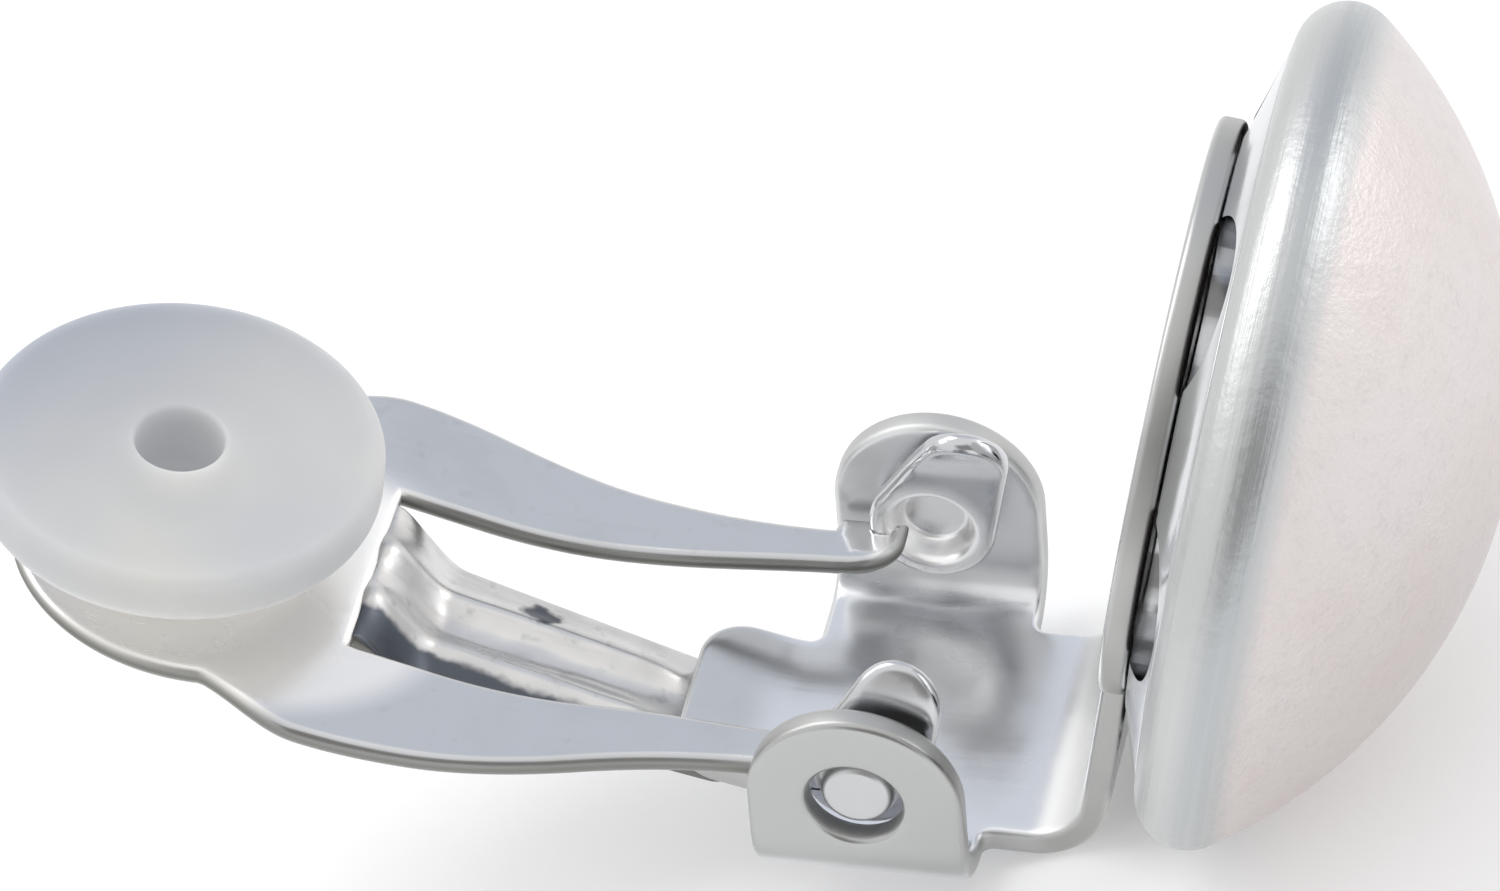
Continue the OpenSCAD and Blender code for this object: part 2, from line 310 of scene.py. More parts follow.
class Finish:
    """A finish with nodes of its own."""

    name = "finish"

    def build(self) -> bpy.types.Material:
        """Makes the material.

        Returns:
            The material.
        """
        made = bpy.data.materials.new(self.name)
        made.use_nodes = True
        bench = Bench(made.node_tree)
        shader = made.node_tree.nodes["Principled BSDF"]
        place = bench.node("ShaderNodeTexCoord").outputs["Object"]
        self.dress(bench, shader, place)
        return made

    def dress(self, bench: Bench, shader: bpy.types.Node, place: bpy.types.NodeSocket) -> None:
        """Sets the shader's sockets.

        Args:
            bench: The bench of the material's tree.
            shader: The main shader.
            place: The place on the piece.
        """
        raise NotImplementedError

    @staticmethod
    def bump(bench: Bench, shader: bpy.types.Node, layers: Sequence[tuple[Val, float]]) -> None:
        """Stacks bumps and feeds the shader's Normal.

        Args:
            bench: The bench of the material's tree.
            shader: The main shader.
            layers: Each height, from 0 to 1, and how many metres that is.
        """
        below = None
        for height, depth in layers:
            inputs = {"Height": height, "Distance": depth, "Strength": 1.0}
            if below is not None:
                inputs["Normal"] = below
            below = bench.node("ShaderNodeBump", {}, inputs).outputs[0]
        bench.feed(shader.inputs["Normal"], below)


@dataclass(frozen=True)
class Patch:
    """A soft-edged spot on the sheet whose colour is painted brighter or darker than round it, and which is
    hazier; most such spots are painted highlight, reflection or shade.

    Its place is in the clip's frame. It is full within inner and gone past outer, in mm, and a stretch of 0
    along an axis of the part's frame makes it run on along that axis.
    """

    at: tuple[float, float, float]
    colour: Colour
    inner: float
    outer: float
    haze: float = 0.16
    stretch: tuple[float, float, float] = (1.0, 1.0, 1.0)

    def painted_patch(self, bench: Bench, place: bpy.types.NodeSocket) -> Val:
        """Marks the patch.

        Args:
            bench: The bench of the material's tree.
            place: The place on the piece.

        Returns:
            1 inside the patch and 0 away from it.
        """
        spot = REST.matrix() @ Vector(self.at) * PER_M
        ahead = (bench.dot(place, (PER_M, 0.0, 0.0)) - spot.x) * self.stretch[0]
        beside = (bench.dot(place, (0.0, PER_M, 0.0)) - spot.y) * self.stretch[1]
        above = (bench.dot(place, (0.0, 0.0, PER_M)) - spot.z) * self.stretch[2]
        gap = (ahead * ahead + beside * beside + above * above) ** 0.5
        return 1.0 - gap.ease(self.inner, self.outer)


@dataclass(frozen=True)
class PolishedSilver(Finish):
    """Bright plated sheet with faint waves, lengthwise scratches, a ragged dark spot, patches and a streak of
    painted highlight and shade, and duller cut edges that are also painted darker as shade.
    """

    name: str = "polished_silver"
    bright: Colour = (0.63, 0.64, 0.655, 1.0)
    dull: Colour = (0.53, 0.535, 0.54, 1.0)
    dull_edge_and_shade: Colour = (0.25, 0.25, 0.235, 1.0)
    gloss: float = 0.1
    haze: float = 0.2
    edge_gloss: float = 0.3
    # a ragged dark spot, and a streak of painted shade along the near side toward the root
    dark_spot_at: tuple[float, float, float] | None = None
    dark_spot_radius: float = 0.42
    dark_spot: Colour = (0.07, 0.08, 0.1, 1.0)
    dark_spot_ragged: float = 0.55
    painted_shade_across: tuple[float, float] = (-0.98, -0.8)
    painted_shade_along: tuple[float, float] = (-5.6, -4.4)
    painted_shade_ragged: float = 0.3
    painted_shade_strength: float = 0.95
    patches: tuple[Patch, ...] = ()
    cloud_scale: float = 420.0
    speck_scale: float = 2600.0
    wave_scale: float = 620.0
    wave_depth: float = 0.00003
    streak_scale: float = 3400.0
    streak_pull: tuple[float, float, float] = (0.09, 1.0, 0.4)
    streak_depth: float = 0.0000016

    def dress(self, bench: Bench, shader: bpy.types.Node, place: bpy.types.NodeSocket) -> None:
        """Sets the shader's sockets.

        Args:
            bench: The bench of the material's tree.
            shader: The main shader.
            place: The place on the piece.
        """
        turn = REST.matrix().to_3x3().normalized()
        pulls = zip(turn.col, self.streak_pull)
        drawn = bench.vector(*(bench.dot(place, axis) * pull for axis, pull in pulls))
        # cut marks the rounded edges, which are darkened partly as a duller cut edge and partly as painted
        # shade
        edge = Val(bench, bench.node("ShaderNodeAttribute", {"attribute_name": "cut"}).outputs["Fac"])
        cloud = bench.noise(place, self.cloud_scale, 3.0, 0.55)
        streak = bench.noise(drawn, self.streak_scale, 3.0, 0.6)
        wave = bench.noise(place, self.wave_scale, 1.0, 0.4)
        speck = bench.noise(place, self.speck_scale, 2.0, 0.5)
        shade = cloud.ease(0.42, 0.78) * 0.5 + speck.ease(0.6, 0.76) * 0.3 + streak.ease(0.55, 0.8) * 0.2
        face = bench.blend(shade, self.bright, self.dull)
        rough = self.gloss + self.haze * cloud.ease(0.4, 0.75) * streak
        # the patches paint highlight, reflection and shade into the plating's colour
        for patch in self.patches:
            painted_patch = patch.painted_patch(bench, place)
            face = bench.blend(painted_patch, face, patch.colour)
            rough = rough + patch.haze * painted_patch
        # the dark spot and the painted shade streak
        if self.dark_spot_at is not None:
            face = bench.blend(self.dark_spot_and_shade(bench, place, speck), face, self.dark_spot)
        # the cut edges: duller, and also painted darker as shade
        bench.feed(shader.inputs["Base Color"], bench.blend(edge, face, self.dull_edge_and_shade))
        bench.feed(shader.inputs["Roughness"], rough + self.edge_gloss * edge)
        shader.inputs["Metallic"].default_value = 1.0
        self.bump(bench, shader, [(wave, self.wave_depth), (streak, self.streak_depth)])

    def dark_spot_and_shade(self, bench: Bench, place: bpy.types.NodeSocket, speck: Val) -> Val:
        """Marks one ragged dark spot and a streak of painted shade along the near side.

        Args:
            bench: The bench of the material's tree.
            place: The place on the piece.
            speck: The noise that makes both ragged.

        Returns:
            1 in the marks and 0 away from them.
        """
        spot = REST.matrix() @ Vector(self.dark_spot_at)
        gap = bench.node("ShaderNodeVectorMath", {"operation": "DISTANCE"}, {0: place, 1: tuple(spot)})
        reach = Val(bench, gap.outputs["Value"]) * PER_M + (speck - 0.5) * self.dark_spot_ragged
        blot = 1.0 - reach.ease(self.dark_spot_radius * 0.5, self.dark_spot_radius)
        # painted shade: a dark streak along the near side, toward the root
        across = bench.dot(place, (0.0, PER_M, 0.0)) + (speck - 0.5) * self.painted_shade_ragged
        along = bench.dot(place, (PER_M, 0.0, 0.0))
        streak = (1.0 - across.ease(*self.painted_shade_across)) * (1.0 - along.ease(*self.painted_shade_along)) * self.painted_shade_strength
        return blot + streak * (1.0 - blot)


@dataclass(frozen=True)
class SatinDome(Finish):
    """Fine matt grain over the domed face, turning to a smoother circular polish round the rim, with a
    painted dark reflection band where the two meet and painted shade on the wall's inner side.
    """

    name: str = "satin_dome"
    face: Colour = (0.71, 0.675, 0.665, 1.0)
    warm: Colour = (0.705, 0.65, 0.642, 1.0)
    rim: Colour = (0.6, 0.605, 0.605, 1.0)
    grey_mottle_and_reflection: Colour = (0.49, 0.51, 0.52, 1.0)
    # painted shade on the inner side of the shell's wall
    hollow: Colour = (0.1, 0.085, 0.075, 1.0)
    face_rough: float = 0.47
    rim_rough: float = 0.38
    cloud_scale: float = 330.0
    grain_scale: float = 9000.0
    pit_scale: float = 2300.0
    ring_scale: float = 7.0
    relief: float = 0.00002
    rim_fade: tuple[float, float] = (2.2, 2.7)
    reflection_band_start: tuple[float, float] = (1.5, 1.95)
    reflection_band_end: tuple[float, float] = (2.1, 2.75)
    wall_blur: float = 0.06

    def dress(self, bench: Bench, shader: bpy.types.Node, place: bpy.types.NodeSocket) -> None:
        """Sets the shader's sockets.

        Args:
            bench: The bench of the material's tree.
            shader: The main shader.
            place: The place on the piece.
        """
        centre, axis, across, beside = dome_frame()
        local = bench.minus(place, centre)
        along = bench.dot(local, axis) * PER_M
        first = bench.dot(local, across) * PER_M
        second = bench.dot(local, beside) * PER_M
        radius = (first * first + second * second) ** 0.5
        turn = second.angle_to(first)
        polish = 1.0 - along.ease(*self.rim_fade)
        turned_at = bench.vector(radius * self.ring_scale, along * self.ring_scale, turn * 1.1)
        rings = bench.noise(turned_at, 1.0, 3.0, 0.6)
        cloud = bench.noise(place, self.cloud_scale, 3.0, 0.55)
        grain = bench.noise(place, self.grain_scale, 2.0, 0.6)
        pits = bench.noise(place, self.pit_scale, 2.0, 0.55)
        mottle = (grain - 0.5) * 0.9 + (pits - 0.5) * 0.7
        face = bench.blend(cloud.ease(0.35, 0.7) + mottle, self.face, self.warm)
        # the grey also mottles the face's grain
        face = bench.blend((mottle - 0.02) * 0.7, face, self.grey_mottle_and_reflection)
        # painted reflection: a dark grey band round the rim, where the polish meets the face
        ring = along.ease(*self.reflection_band_start) * (1.0 - along.ease(*self.reflection_band_end)) * (0.7 + 0.5 * rings)
        outer = bench.blend(ring, bench.blend(polish, face, self.rim), self.grey_mottle_and_reflection)
        # the inner side of the wall is painted dark as shade
        bench.feed(shader.inputs["Base Color"], bench.blend(self.inside(radius, along), outer, self.hollow))
        matt = self.face_rough + 0.1 * (pits - 0.5) + 0.08 * (cloud - 0.5)
        bright = self.rim_rough + 0.16 * (rings - 0.4)
        bench.feed(shader.inputs["Roughness"], matt + (bright - matt) * polish)
        shader.inputs["Metallic"].default_value = 1.0
        self.bump(
            bench,
            shader,
            [(rings * polish, self.relief), (pits, self.relief), (grain * (1.0 - 0.7 * polish), self.relief)],
        )

    def inside(self, radius: Val, along: Val) -> Val:
        """Marks the inner side of the shell's wall, which is painted dark as shade.

        Args:
            radius: The distance from the dome's axis in mm.
            along: The height over the pad in mm.

        Returns:
            1 on the inner side and 0 on the outer side.
        """
        dome = DomeFront()
        rise = along - dome.rim_at
        reach = radius - dome.lip_radius
        rim = (reach * reach + rise * rise) ** 0.5
        lift = along - dome.centre_at
        cap = (radius * radius + lift * lift) ** 0.5
        cap_middle, rim_middle = dome.curve_radius - dome.wall / 2.0, dome.rim_radius - dome.wall / 2.0
        under_cap = 1.0 - cap.ease(cap_middle - self.wall_blur, cap_middle + self.wall_blur)
        under_rim = 1.0 - rim.ease(rim_middle - self.wall_blur, rim_middle + self.wall_blur)
        past_rim = rim.ease(dome.rim_radius + 0.03, dome.rim_radius + 0.07)
        return under_rim + under_cap * past_rim * (1.0 - under_rim)


@dataclass(frozen=True)
class SoftSilicone(Finish):
    """Translucent white silicone with a faint bloom, painted darker and cooler toward its far edge as shade,
    and a painted glow, stronger below the disc, that stands in for light.
    """

    name: str = "white_silicone"
    milk: Colour = (0.52, 0.52, 0.505, 1.0)
    bloom: Colour = (0.44, 0.455, 0.485, 1.0)
    # painted shade: the far side is painted darker and cooler
    far: Colour = (0.23, 0.26, 0.325, 1.0)
    depth: float = 0.0013
    clear: float = 0.28
    # painted light: the cushion glows a little, and more under its disc
    glow_above: Colour = (0.14, 0.14, 0.138, 1.0)
    glow_below: Colour = (0.27, 0.266, 0.26, 1.0)
    below_fade: tuple[float, float] = (0.7, 1.15)
    hole_fade: tuple[float, float] = (0.95, 1.15)
    painted_shade_axis: tuple[float, float, float] = (-0.7, 0.7, 0.0)
    painted_shade_fade: tuple[float, float] = (-2.4, 4.0)
    cloud_scale: float = 260.0
    dust_scale: float = 4200.0

    def dress(self, bench: Bench, shader: bpy.types.Node, place: bpy.types.NodeSocket) -> None:
        """Sets the shader's sockets.

        Args:
            bench: The bench of the material's tree.
            shader: The main shader.
            place: The place on the piece.
        """
        seat = ComfortCushion().seat()
        local = bench.minus(place, seat.translation)
        away = bench.dot(local, self.painted_shade_axis) * PER_M
        height = bench.dot(local, seat.to_3x3().normalized().col[2]) * PER_M
        reach = (bench.dot(local, local) * PER_M**2 - height * height) ** 0.5
        # painted light: the glow is stronger under the disc and round the foot
        below = (1.0 - height.ease(*self.below_fade)) * reach.ease(*self.hole_fade)
        glow = bench.blend(below, self.glow_above, self.glow_below)
        bench.feed(shader.inputs["Emission Color"], glow)
        cloud = bench.noise(place, self.cloud_scale, 2.0, 0.5)
        dust = bench.noise(place, self.dust_scale, 2.0, 0.6)
        skin = bench.blend(cloud.ease(0.3, 0.75), self.milk, self.bloom)
        # painted shade toward the far side
        bench.feed(shader.inputs["Base Color"], bench.blend(away.ease(*self.painted_shade_fade), skin, self.far))
        bench.feed(shader.inputs["Roughness"], 0.4 + 0.12 * cloud + 0.1 * dust.ease(0.55, 0.8))
        shader.inputs["Subsurface Weight"].default_value = 1.0
        shader.inputs["Subsurface Radius"].default_value = (1.0, 0.95, 0.9)
        shader.inputs["Subsurface Scale"].default_value = self.depth
        shader.inputs["Transmission Weight"].default_value = self.clear
        shader.inputs["IOR"].default_value = 1.42
        shader.inputs["Emission Strength"].default_value = 1.0
        self.bump(bench, shader, [(cloud, 0.00003), (dust, 0.0000016)])


@dataclass(frozen=True)
class PaleFloor(Finish):
    """Plain pale paper on a light table."""

    name: str = "pale_floor"
    white: Colour = (0.8, 0.8, 0.8, 1.0)
    shade: Colour = (0.78, 0.78, 0.785, 1.0)
    glow: float = 0.22

    def dress(self, bench: Bench, shader: bpy.types.Node, place: bpy.types.NodeSocket) -> None:
        """Sets the shader's sockets.

        Args:
            bench: The bench of the material's tree.
            shader: The main shader.
            place: The place on the piece.
        """
        cloud = bench.noise(place, 40.0, 2.0, 0.5)
        bench.feed(shader.inputs["Base Color"], bench.blend(cloud, self.white, self.shade))
        shader.inputs["Roughness"].default_value = 0.9
        shader.inputs["Specular IOR Level"].default_value = 0.1
        shader.inputs["Emission Color"].default_value = (1.0, 1.0, 1.0, 1.0)
        shader.inputs["Emission Strength"].default_value = self.glow


def smooth_step(t: np.ndarray) -> np.ndarray:
    """Returns t eased between 0 and 1."""
    t = np.clip(t, 0.0, 1.0)
    return t * t * (3.0 - 2.0 * t)


def arc(centre: Sequence[float], radius: float, start: float, end: float, count: int) -> np.ndarray:
    """Points of an arc.

    Args:
        centre: Its centre.
        radius: Its radius.
        start: Its first angle in degrees.
        end: Its last angle in degrees.
        count: How many steps it has.

    Returns:
        The points, one row each.
    """
    angle = np.radians(np.linspace(start, end, count + 1))
    return np.stack([centre[0] + radius * np.cos(angle), centre[1] + radius * np.sin(angle)], 1)


def finished(name: str, mesh: bpy.types.Mesh, material: bpy.types.Material) -> bpy.types.Object:
    """Makes an object of a mesh that is already in the part's frame.

    Args:
        name: The piece's name.
        mesh: Its mesh.
        material: Its finish.

    Returns:
        The object, with smooth faces that point outwards.
    """
    work = bmesh.new()
    work.from_mesh(mesh)
    bmesh.ops.recalc_face_normals(work, faces=work.faces)
    work.to_mesh(mesh)
    work.free()
    mesh.materials.clear()
    mesh.materials.append(material)
    mesh.polygons.foreach_set("material_index", [0] * len(mesh.polygons))
    mesh.polygons.foreach_set("use_smooth", [True] * len(mesh.polygons))
    mesh.set_sharp_from_angle(angle=math.radians(48.0))
    made = bpy.data.objects.new(name, mesh)
    bpy.context.scene.collection.objects.link(made)
    return made


@dataclass
class SheetMetal:
    """A stamped blank with holes, bent along a fold and given a wall with rounded edges. In mm.

    Its points carry an attribute, cut, that is 0 on the faces, rises to the given value on the rounded edge
    and stays 0 within the box kept, given as its least and greatest x and y. The finish darkens the edge by
    it, partly as a duller cut edge and partly as painted shade.
    """

    outline: np.ndarray
    fold: Fold
    thickness: float
    holes: list[np.ndarray] = field(default_factory=list)
    extra: np.ndarray | None = None
    edge: float = 0.08
    step: float = 0.14
    edge_rows: int = 4
    cut: float = 1.0
    kept: tuple[float, float, float, float] | None = None

    def _loop(self, points: np.ndarray) -> tuple[np.ndarray, np.ndarray]:
        """Divides a closed outline into short steps and draws it in by the edge radius.

        Args:
            points: The outline, with the metal on its left.

        Returns:
            The drawn-in points and the directions that point out of the metal.
        """
        rows = []
        for a, b in zip(points, np.roll(points, -1, 0)):
            length = float(np.hypot(*(b - a)))
            if length < 1e-6:
                continue
            count = max(1, math.ceil(length / self.step))
            rows.append(a + (b - a) * (np.arange(count)[:, None] / count))
        loop = np.vstack(rows)
        ahead = np.roll(loop, -1, 0) - loop
        ahead /= np.linalg.norm(ahead, axis=1)[:, None]
        side = np.stack([ahead[:, 1], -ahead[:, 0]], 1)
        both = side + np.roll(side, 1, 0)
        both /= np.linalg.norm(both, axis=1)[:, None]
        out = both / np.clip((both * side).sum(1), 0.7, 1.0)[:, None]
        return loop - out * self.edge, out

    @staticmethod
    def _inside(points: np.ndarray, loops: list[np.ndarray]) -> np.ndarray:
        """Says which points lie in the metal, by counting crossings.

        Args:
            points: The points.
            loops: The outline and the holes.

        Returns:
            One truth value a point.
        """
        hit = np.zeros(len(points), int)
        for loop in loops:
            for a, b in zip(loop, np.roll(loop, -1, 0)):
                if a[1] == b[1]:
                    continue
                spans = (a[1] > points[:, 1]) != (b[1] > points[:, 1])
                across = a[0] + (points[:, 1] - a[1]) / (b[1] - a[1]) * (b[0] - a[0])
                hit += spans & (points[:, 0] < across)
        return hit % 2 == 1

    def _fill(self, loops: list[np.ndarray]) -> np.ndarray:
        """Sets points inside the metal, clear of its outline.

        Args:
            loops: The outline and the holes.

        Returns:
            The points.
        """
        low, high = loops[0].min(0), loops[0].max(0)
        rise = self.step * math.sqrt(3.0) / 2.0
        rows = []
        for i, y in enumerate(np.arange(low[1], high[1], rise)):
            xs = np.arange(low[0] + (i % 2) * self.step / 2.0, high[0], self.step)
            rows.append(np.stack([xs, np.full(len(xs), y)], 1))
        points = np.vstack(rows)
        if self.extra is not None:
            near = np.min(np.hypot(*(points[:, None] - self.extra[None]).transpose(2, 0, 1)), axis=1)
            points = np.vstack([points[near > self.step * 0.5], self.extra])
        points = points[self._inside(points, loops)]
        rim = np.vstack(loops)
        clear = np.ones(len(points), bool)
        block = 2000
        for start in range(0, len(points), block):
            part = points[start : start + block]
            gap = np.hypot(part[:, None, 0] - rim[None, :, 0], part[:, None, 1] - rim[None, :, 1]).min(1)
            clear[start : start + block] = gap > self.step * 0.55
        return points[clear]

    def mesh(self, name: str, place: Matrix) -> bpy.types.Mesh:
        """Builds the closed wall.

        Args:
            name: The mesh's name.
            place: The map from the sheet's frame to the part's frame.

        Returns:
            The mesh.
        """
        loops, outs = (list(rows) for rows in zip(*[self._loop(p) for p in [self.outline, *self.holes]]))
        points = np.vstack([*loops, self._fill(loops)])
        edges, start = [], 0
        for loop in loops:
            n = len(loop)
            edges += [(start + i, start + (i + 1) % n) for i in range(n)]
            start += n
        flat, _, faces, origin, _, _ = delaunay_2d_cdt([Vector(p) for p in points], edges, [], 0, 1e-7, True)
        flat = np.array([tuple(p) for p in flat])
        place_of = {old: new for new, olds in enumerate(origin) for old in olds}
        middles = np.array([flat[list(f)].mean(0) for f in faces])
        faces = [tuple(f) for f, keep in zip(faces, self._inside(middles, loops)) if keep]
        half, count = self.thickness / 2.0, len(flat)
        spot, normal = self.fold(flat[:, 0], flat[:, 1])
        verts = [spot + normal * half, spot - normal * half]
        quads: list[tuple[int, ...]] = list(faces) + [tuple(count + i for i in reversed(f)) for f in faces]
        phi = np.radians(np.linspace(0.0, 90.0, self.edge_rows + 1))
        rows = [(self.edge * math.sin(a), half - self.edge * (1.0 - math.cos(a))) for a in phi[1:]]
        rows += [(a, -h) for a, h in reversed(rows)]
        shades = [self.cut * (a / self.edge) ** 3 for a, _ in rows]
        cut_values = [0.0] * (2 * count)
        total, start = 2 * count, 0
        for loop, out in zip(loops, outs):
            n = len(loop)
            ring = [place_of[start + i] for i in range(n)]
            rings = [ring]
            for (reach, height), level in zip(rows, shades):
                spot, normal = self.fold(*(loop + out * reach).T)
                verts.append(spot + normal * height)
                rings.append(list(range(total, total + n)))
                total += n
                shade = np.full(n, level)
                if self.kept is not None:
                    x0, x1, y0, y1 = self.kept
                    shade[(loop[:, 0] > x0) & (loop[:, 0] < x1) & (loop[:, 1] > y0) & (loop[:, 1] < y1)] = 0.0
                cut_values += shade.tolist()
            rings.append([count + i for i in ring])
            for upper, lower in zip(rings, rings[1:]):
                quads += [
                    (upper[i], upper[(i + 1) % n], lower[(i + 1) % n], lower[i])
                    for i in range(n)
                    if upper[i] != upper[(i + 1) % n]
                ]
            start += n
        mesh = bpy.data.meshes.new(name)
        mesh.from_pydata(np.vstack(verts).tolist(), [], quads)
        cut = mesh.attributes.new("cut", "FLOAT", "POINT")
        cut.data.foreach_set("value", cut_values)
        mesh.validate()
        mesh.transform(place)
        return mesh


class ShapeTree:
    """A geometry tree that starts with a shape and named sizes and ends by setting its finish."""

    def __init__(self, name: str, numbers: Sequence[tuple[str, float]]) -> None:
        """Starts a tree with a shape, named numbers and a finish as its inputs.

        Args:
            name: The tree's name.
            numbers: The names and values of its sizes.
        """
        self.tree = bpy.data.node_groups.new(name, "GeometryNodeTree")
        face = self.tree.interface
        face.new_socket("Shape", in_out="INPUT", socket_type="NodeSocketGeometry")
        for label, value in numbers:
            face.new_socket(label, in_out="INPUT", socket_type="NodeSocketFloat").default_value = value
        face.new_socket("Finish", in_out="INPUT", socket_type="NodeSocketMaterial")
        face.new_socket("Shape", in_out="OUTPUT", socket_type="NodeSocketGeometry")
        self.bench = Bench(self.tree)
        self.start = self.bench.node("NodeGroupInput")

    def size(self, label: str) -> Val:
        """Returns a named size of the tree."""
        return Val(self.bench, self.start.outputs[label])

    def close(self, shape: bpy.types.NodeSocket) -> bpy.types.NodeTree:
        """Ends the tree.

        Args:
            shape: The shape so far.

        Returns:
            The tree.
        """
        real = self.bench.node("GeometryNodeRealizeInstances", {}, {"Geometry": shape})
        ends = {"Geometry": real.outputs[0], "Material": self.start.outputs["Finish"]}
        done = self.bench.node("GeometryNodeSetMaterial", {}, ends)
        self.bench.node("NodeGroupOutput", {}, {0: done.outputs[0]})
        return self.tree


def turning_tree() -> bpy.types.NodeTree:
    """Makes the tree that wraps a flat sheet of radius, turn and height round the Z axis.

    Returns:
        The tree.
    """
    made = ShapeTree("turned_profile", [("Seam", SEAM_MM)])
    bench = made.bench
    place = bench.node("GeometryNodeInputPosition").outputs[0]
    split = bench.node("ShaderNodeSeparateXYZ", {}, {0: place})
    radius, turn, height = (Val(bench, s) for s in split.outputs)
    spot = bench.vector(radius * turn.cosine(), radius * turn.sine(), height)
    moved = bench.node(
        "GeometryNodeSetPosition", {}, {"Geometry": made.start.outputs["Shape"], "Position": spot}
    ).outputs[0]
    joined = bench.node(
        "GeometryNodeMergeByDistance", {}, {"Geometry": moved, "Distance": made.size("Seam")}
    ).outputs[0]
    return made.close(joined)


def vent_tree() -> bpy.types.NodeTree:
    """Makes the tree that drills a ring of round vents through a plate.

    Returns:
        The tree.
    """
    sizes = [("Vents", 6.0), ("Ring radius", 4.7), ("Vent radius", 1.6), ("First angle", 0.0), ("Depth", 4.0)]
    made = ShapeTree("vent_ring", sizes)
    bench = made.bench
    ring = bench.node(
        "GeometryNodeMeshCircle", {}, {"Vertices": made.size("Vents"), "Radius": made.size("Ring radius")}
    ).outputs[0]
    turned = bench.node(
        "GeometryNodeTransform",
        {},
        {"Geometry": ring, "Rotation": bench.vector(0.0, 0.0, made.size("First angle"))},
    ).outputs[0]
    drill = bench.node(
        "GeometryNodeMeshCylinder",
        {},
        {"Vertices": VENT_STEPS, "Radius": made.size("Vent radius"), "Depth": made.size("Depth")},
    ).outputs[0]
    drills = bench.node("GeometryNodeInstanceOnPoints", {}, {"Points": turned, "Instance": drill}).outputs[0]
    solid = bench.node("GeometryNodeRealizeInstances", {}, {"Geometry": drills}).outputs[0]
    cut = bench.node("GeometryNodeMeshBoolean", {"operation": "DIFFERENCE", "solver": "EXACT"})
    bench.feed(cut.inputs["Mesh 1"], made.start.outputs["Shape"])
    bench.feed(cut.inputs["Mesh 2"], solid)
    return made.close(cut.outputs[0])


def run_tree(
    mesh: bpy.types.Mesh, tree: bpy.types.NodeTree, sizes: dict[str, float], finish: bpy.types.Material
) -> bpy.types.Mesh:
    """Runs a tree on a mesh and keeps the result as a plain mesh.

    Args:
        mesh: The mesh that goes in.
        tree: The tree.
        sizes: Its named sizes.
        finish: The material that it sets.

    Returns:
        The new mesh.
    """
    carrier = bpy.data.objects.new(mesh.name, mesh)
    bpy.context.scene.collection.objects.link(carrier)
    modifier = carrier.modifiers.new("shape", "NODES")
    modifier.node_group = tree
    for item in tree.interface.items_tree:
        if item.item_type != "SOCKET" or item.in_out != "INPUT":
            continue
        if item.name in sizes:
            modifier[item.identifier] = float(sizes[item.name])
        elif item.name == "Finish":
            modifier[item.identifier] = finish
    graph = bpy.context.evaluated_depsgraph_get()
    made = bpy.data.meshes.new_from_object(carrier.evaluated_get(graph))
    carrier.modifiers.remove(modifier)
    bpy.data.objects.remove(carrier)
    return made


def turned(name: str, profile: np.ndarray, finish: bpy.types.Material, steps: int) -> bpy.types.Mesh:
    """Turns a closed or open profile of radius and height round Z.

    Args:
        name: The mesh's name.
        profile: Its points, from axis to axis or round a ring.
        finish: Its material.
        steps: How many steps go round.

    Returns:
        The mesh, in the profile's frame.
    """
    if np.hypot(*(profile[0] - profile[-1])) > 1e-9 and max(profile[0][0], profile[-1][0]) > 1e-6:
        profile = np.vstack([profile, profile[:1]])
    angles = np.linspace(0.0, 2.0 * math.pi, steps + 1)
    n = len(profile)
    verts = [(r, a, z) for a in angles for r, z in profile]
    faces = [
        (i * n + j, (i + 1) * n + j, (i + 1) * n + j + 1, i * n + j + 1)
        for i in range(steps)
        for j in range(n - 1)
    ]
    flat = bpy.data.meshes.new(name)
    flat.from_pydata(verts, [], faces)
    return run_tree(flat, turning_tree(), {"Seam": SEAM_MM}, finish)


def rounded(corners: Sequence[tuple[float, float, float]], steps: int = 6) -> np.ndarray:
    """Draws a line through corners, each rounded by its own radius.

    Args:
        corners: Each corner's radius and height, and how much it is rounded.
        steps: How many steps a corner has.

    Returns:
        The points.
    """
    spots = [np.array(c[:2]) for c in corners]
    rows = []
    for i, (_, _, soft) in enumerate(corners):
        if soft <= 0.0 or i in (0, len(corners) - 1):
            rows.append(spots[i][None])
            continue
        back = spots[i - 1] - spots[i]
        ahead = spots[i + 1] - spots[i]
        back /= np.linalg.norm(back)
        ahead /= np.linalg.norm(ahead)
        half = math.acos(float(np.clip(back @ ahead, -1.0, 1.0))) / 2.0
        reach = soft / math.tan(half)
        centre = spots[i] + (back + ahead) / np.linalg.norm(back + ahead) * soft / math.sin(half)
        start, end = spots[i] + back * reach - centre, spots[i] + ahead * reach - centre
        turn = math.atan2(start[0] * end[1] - start[1] * end[0], float(start @ end))
        for k in range(steps + 1):
            a = turn * k / steps
            spin = np.array([[math.cos(a), -math.sin(a)], [math.sin(a), math.cos(a)]])
            rows.append((centre + spin @ start)[None])
    return np.vstack(rows)


def stepped(points: np.ndarray, step: float) -> np.ndarray:
    """Divides the long stretches of an open line.

    Args:
        points: The line.
        step: The longest stretch that stays.

    Returns:
        The denser line.
    """
    rows = []
    for a, b in zip(points, points[1:]):
        count = max(1, math.ceil(float(np.hypot(*(b - a))) / step))
        rows.append(a + (b - a) * (np.arange(count)[:, None] / count))
    return np.vstack([*rows, points[-1:]])


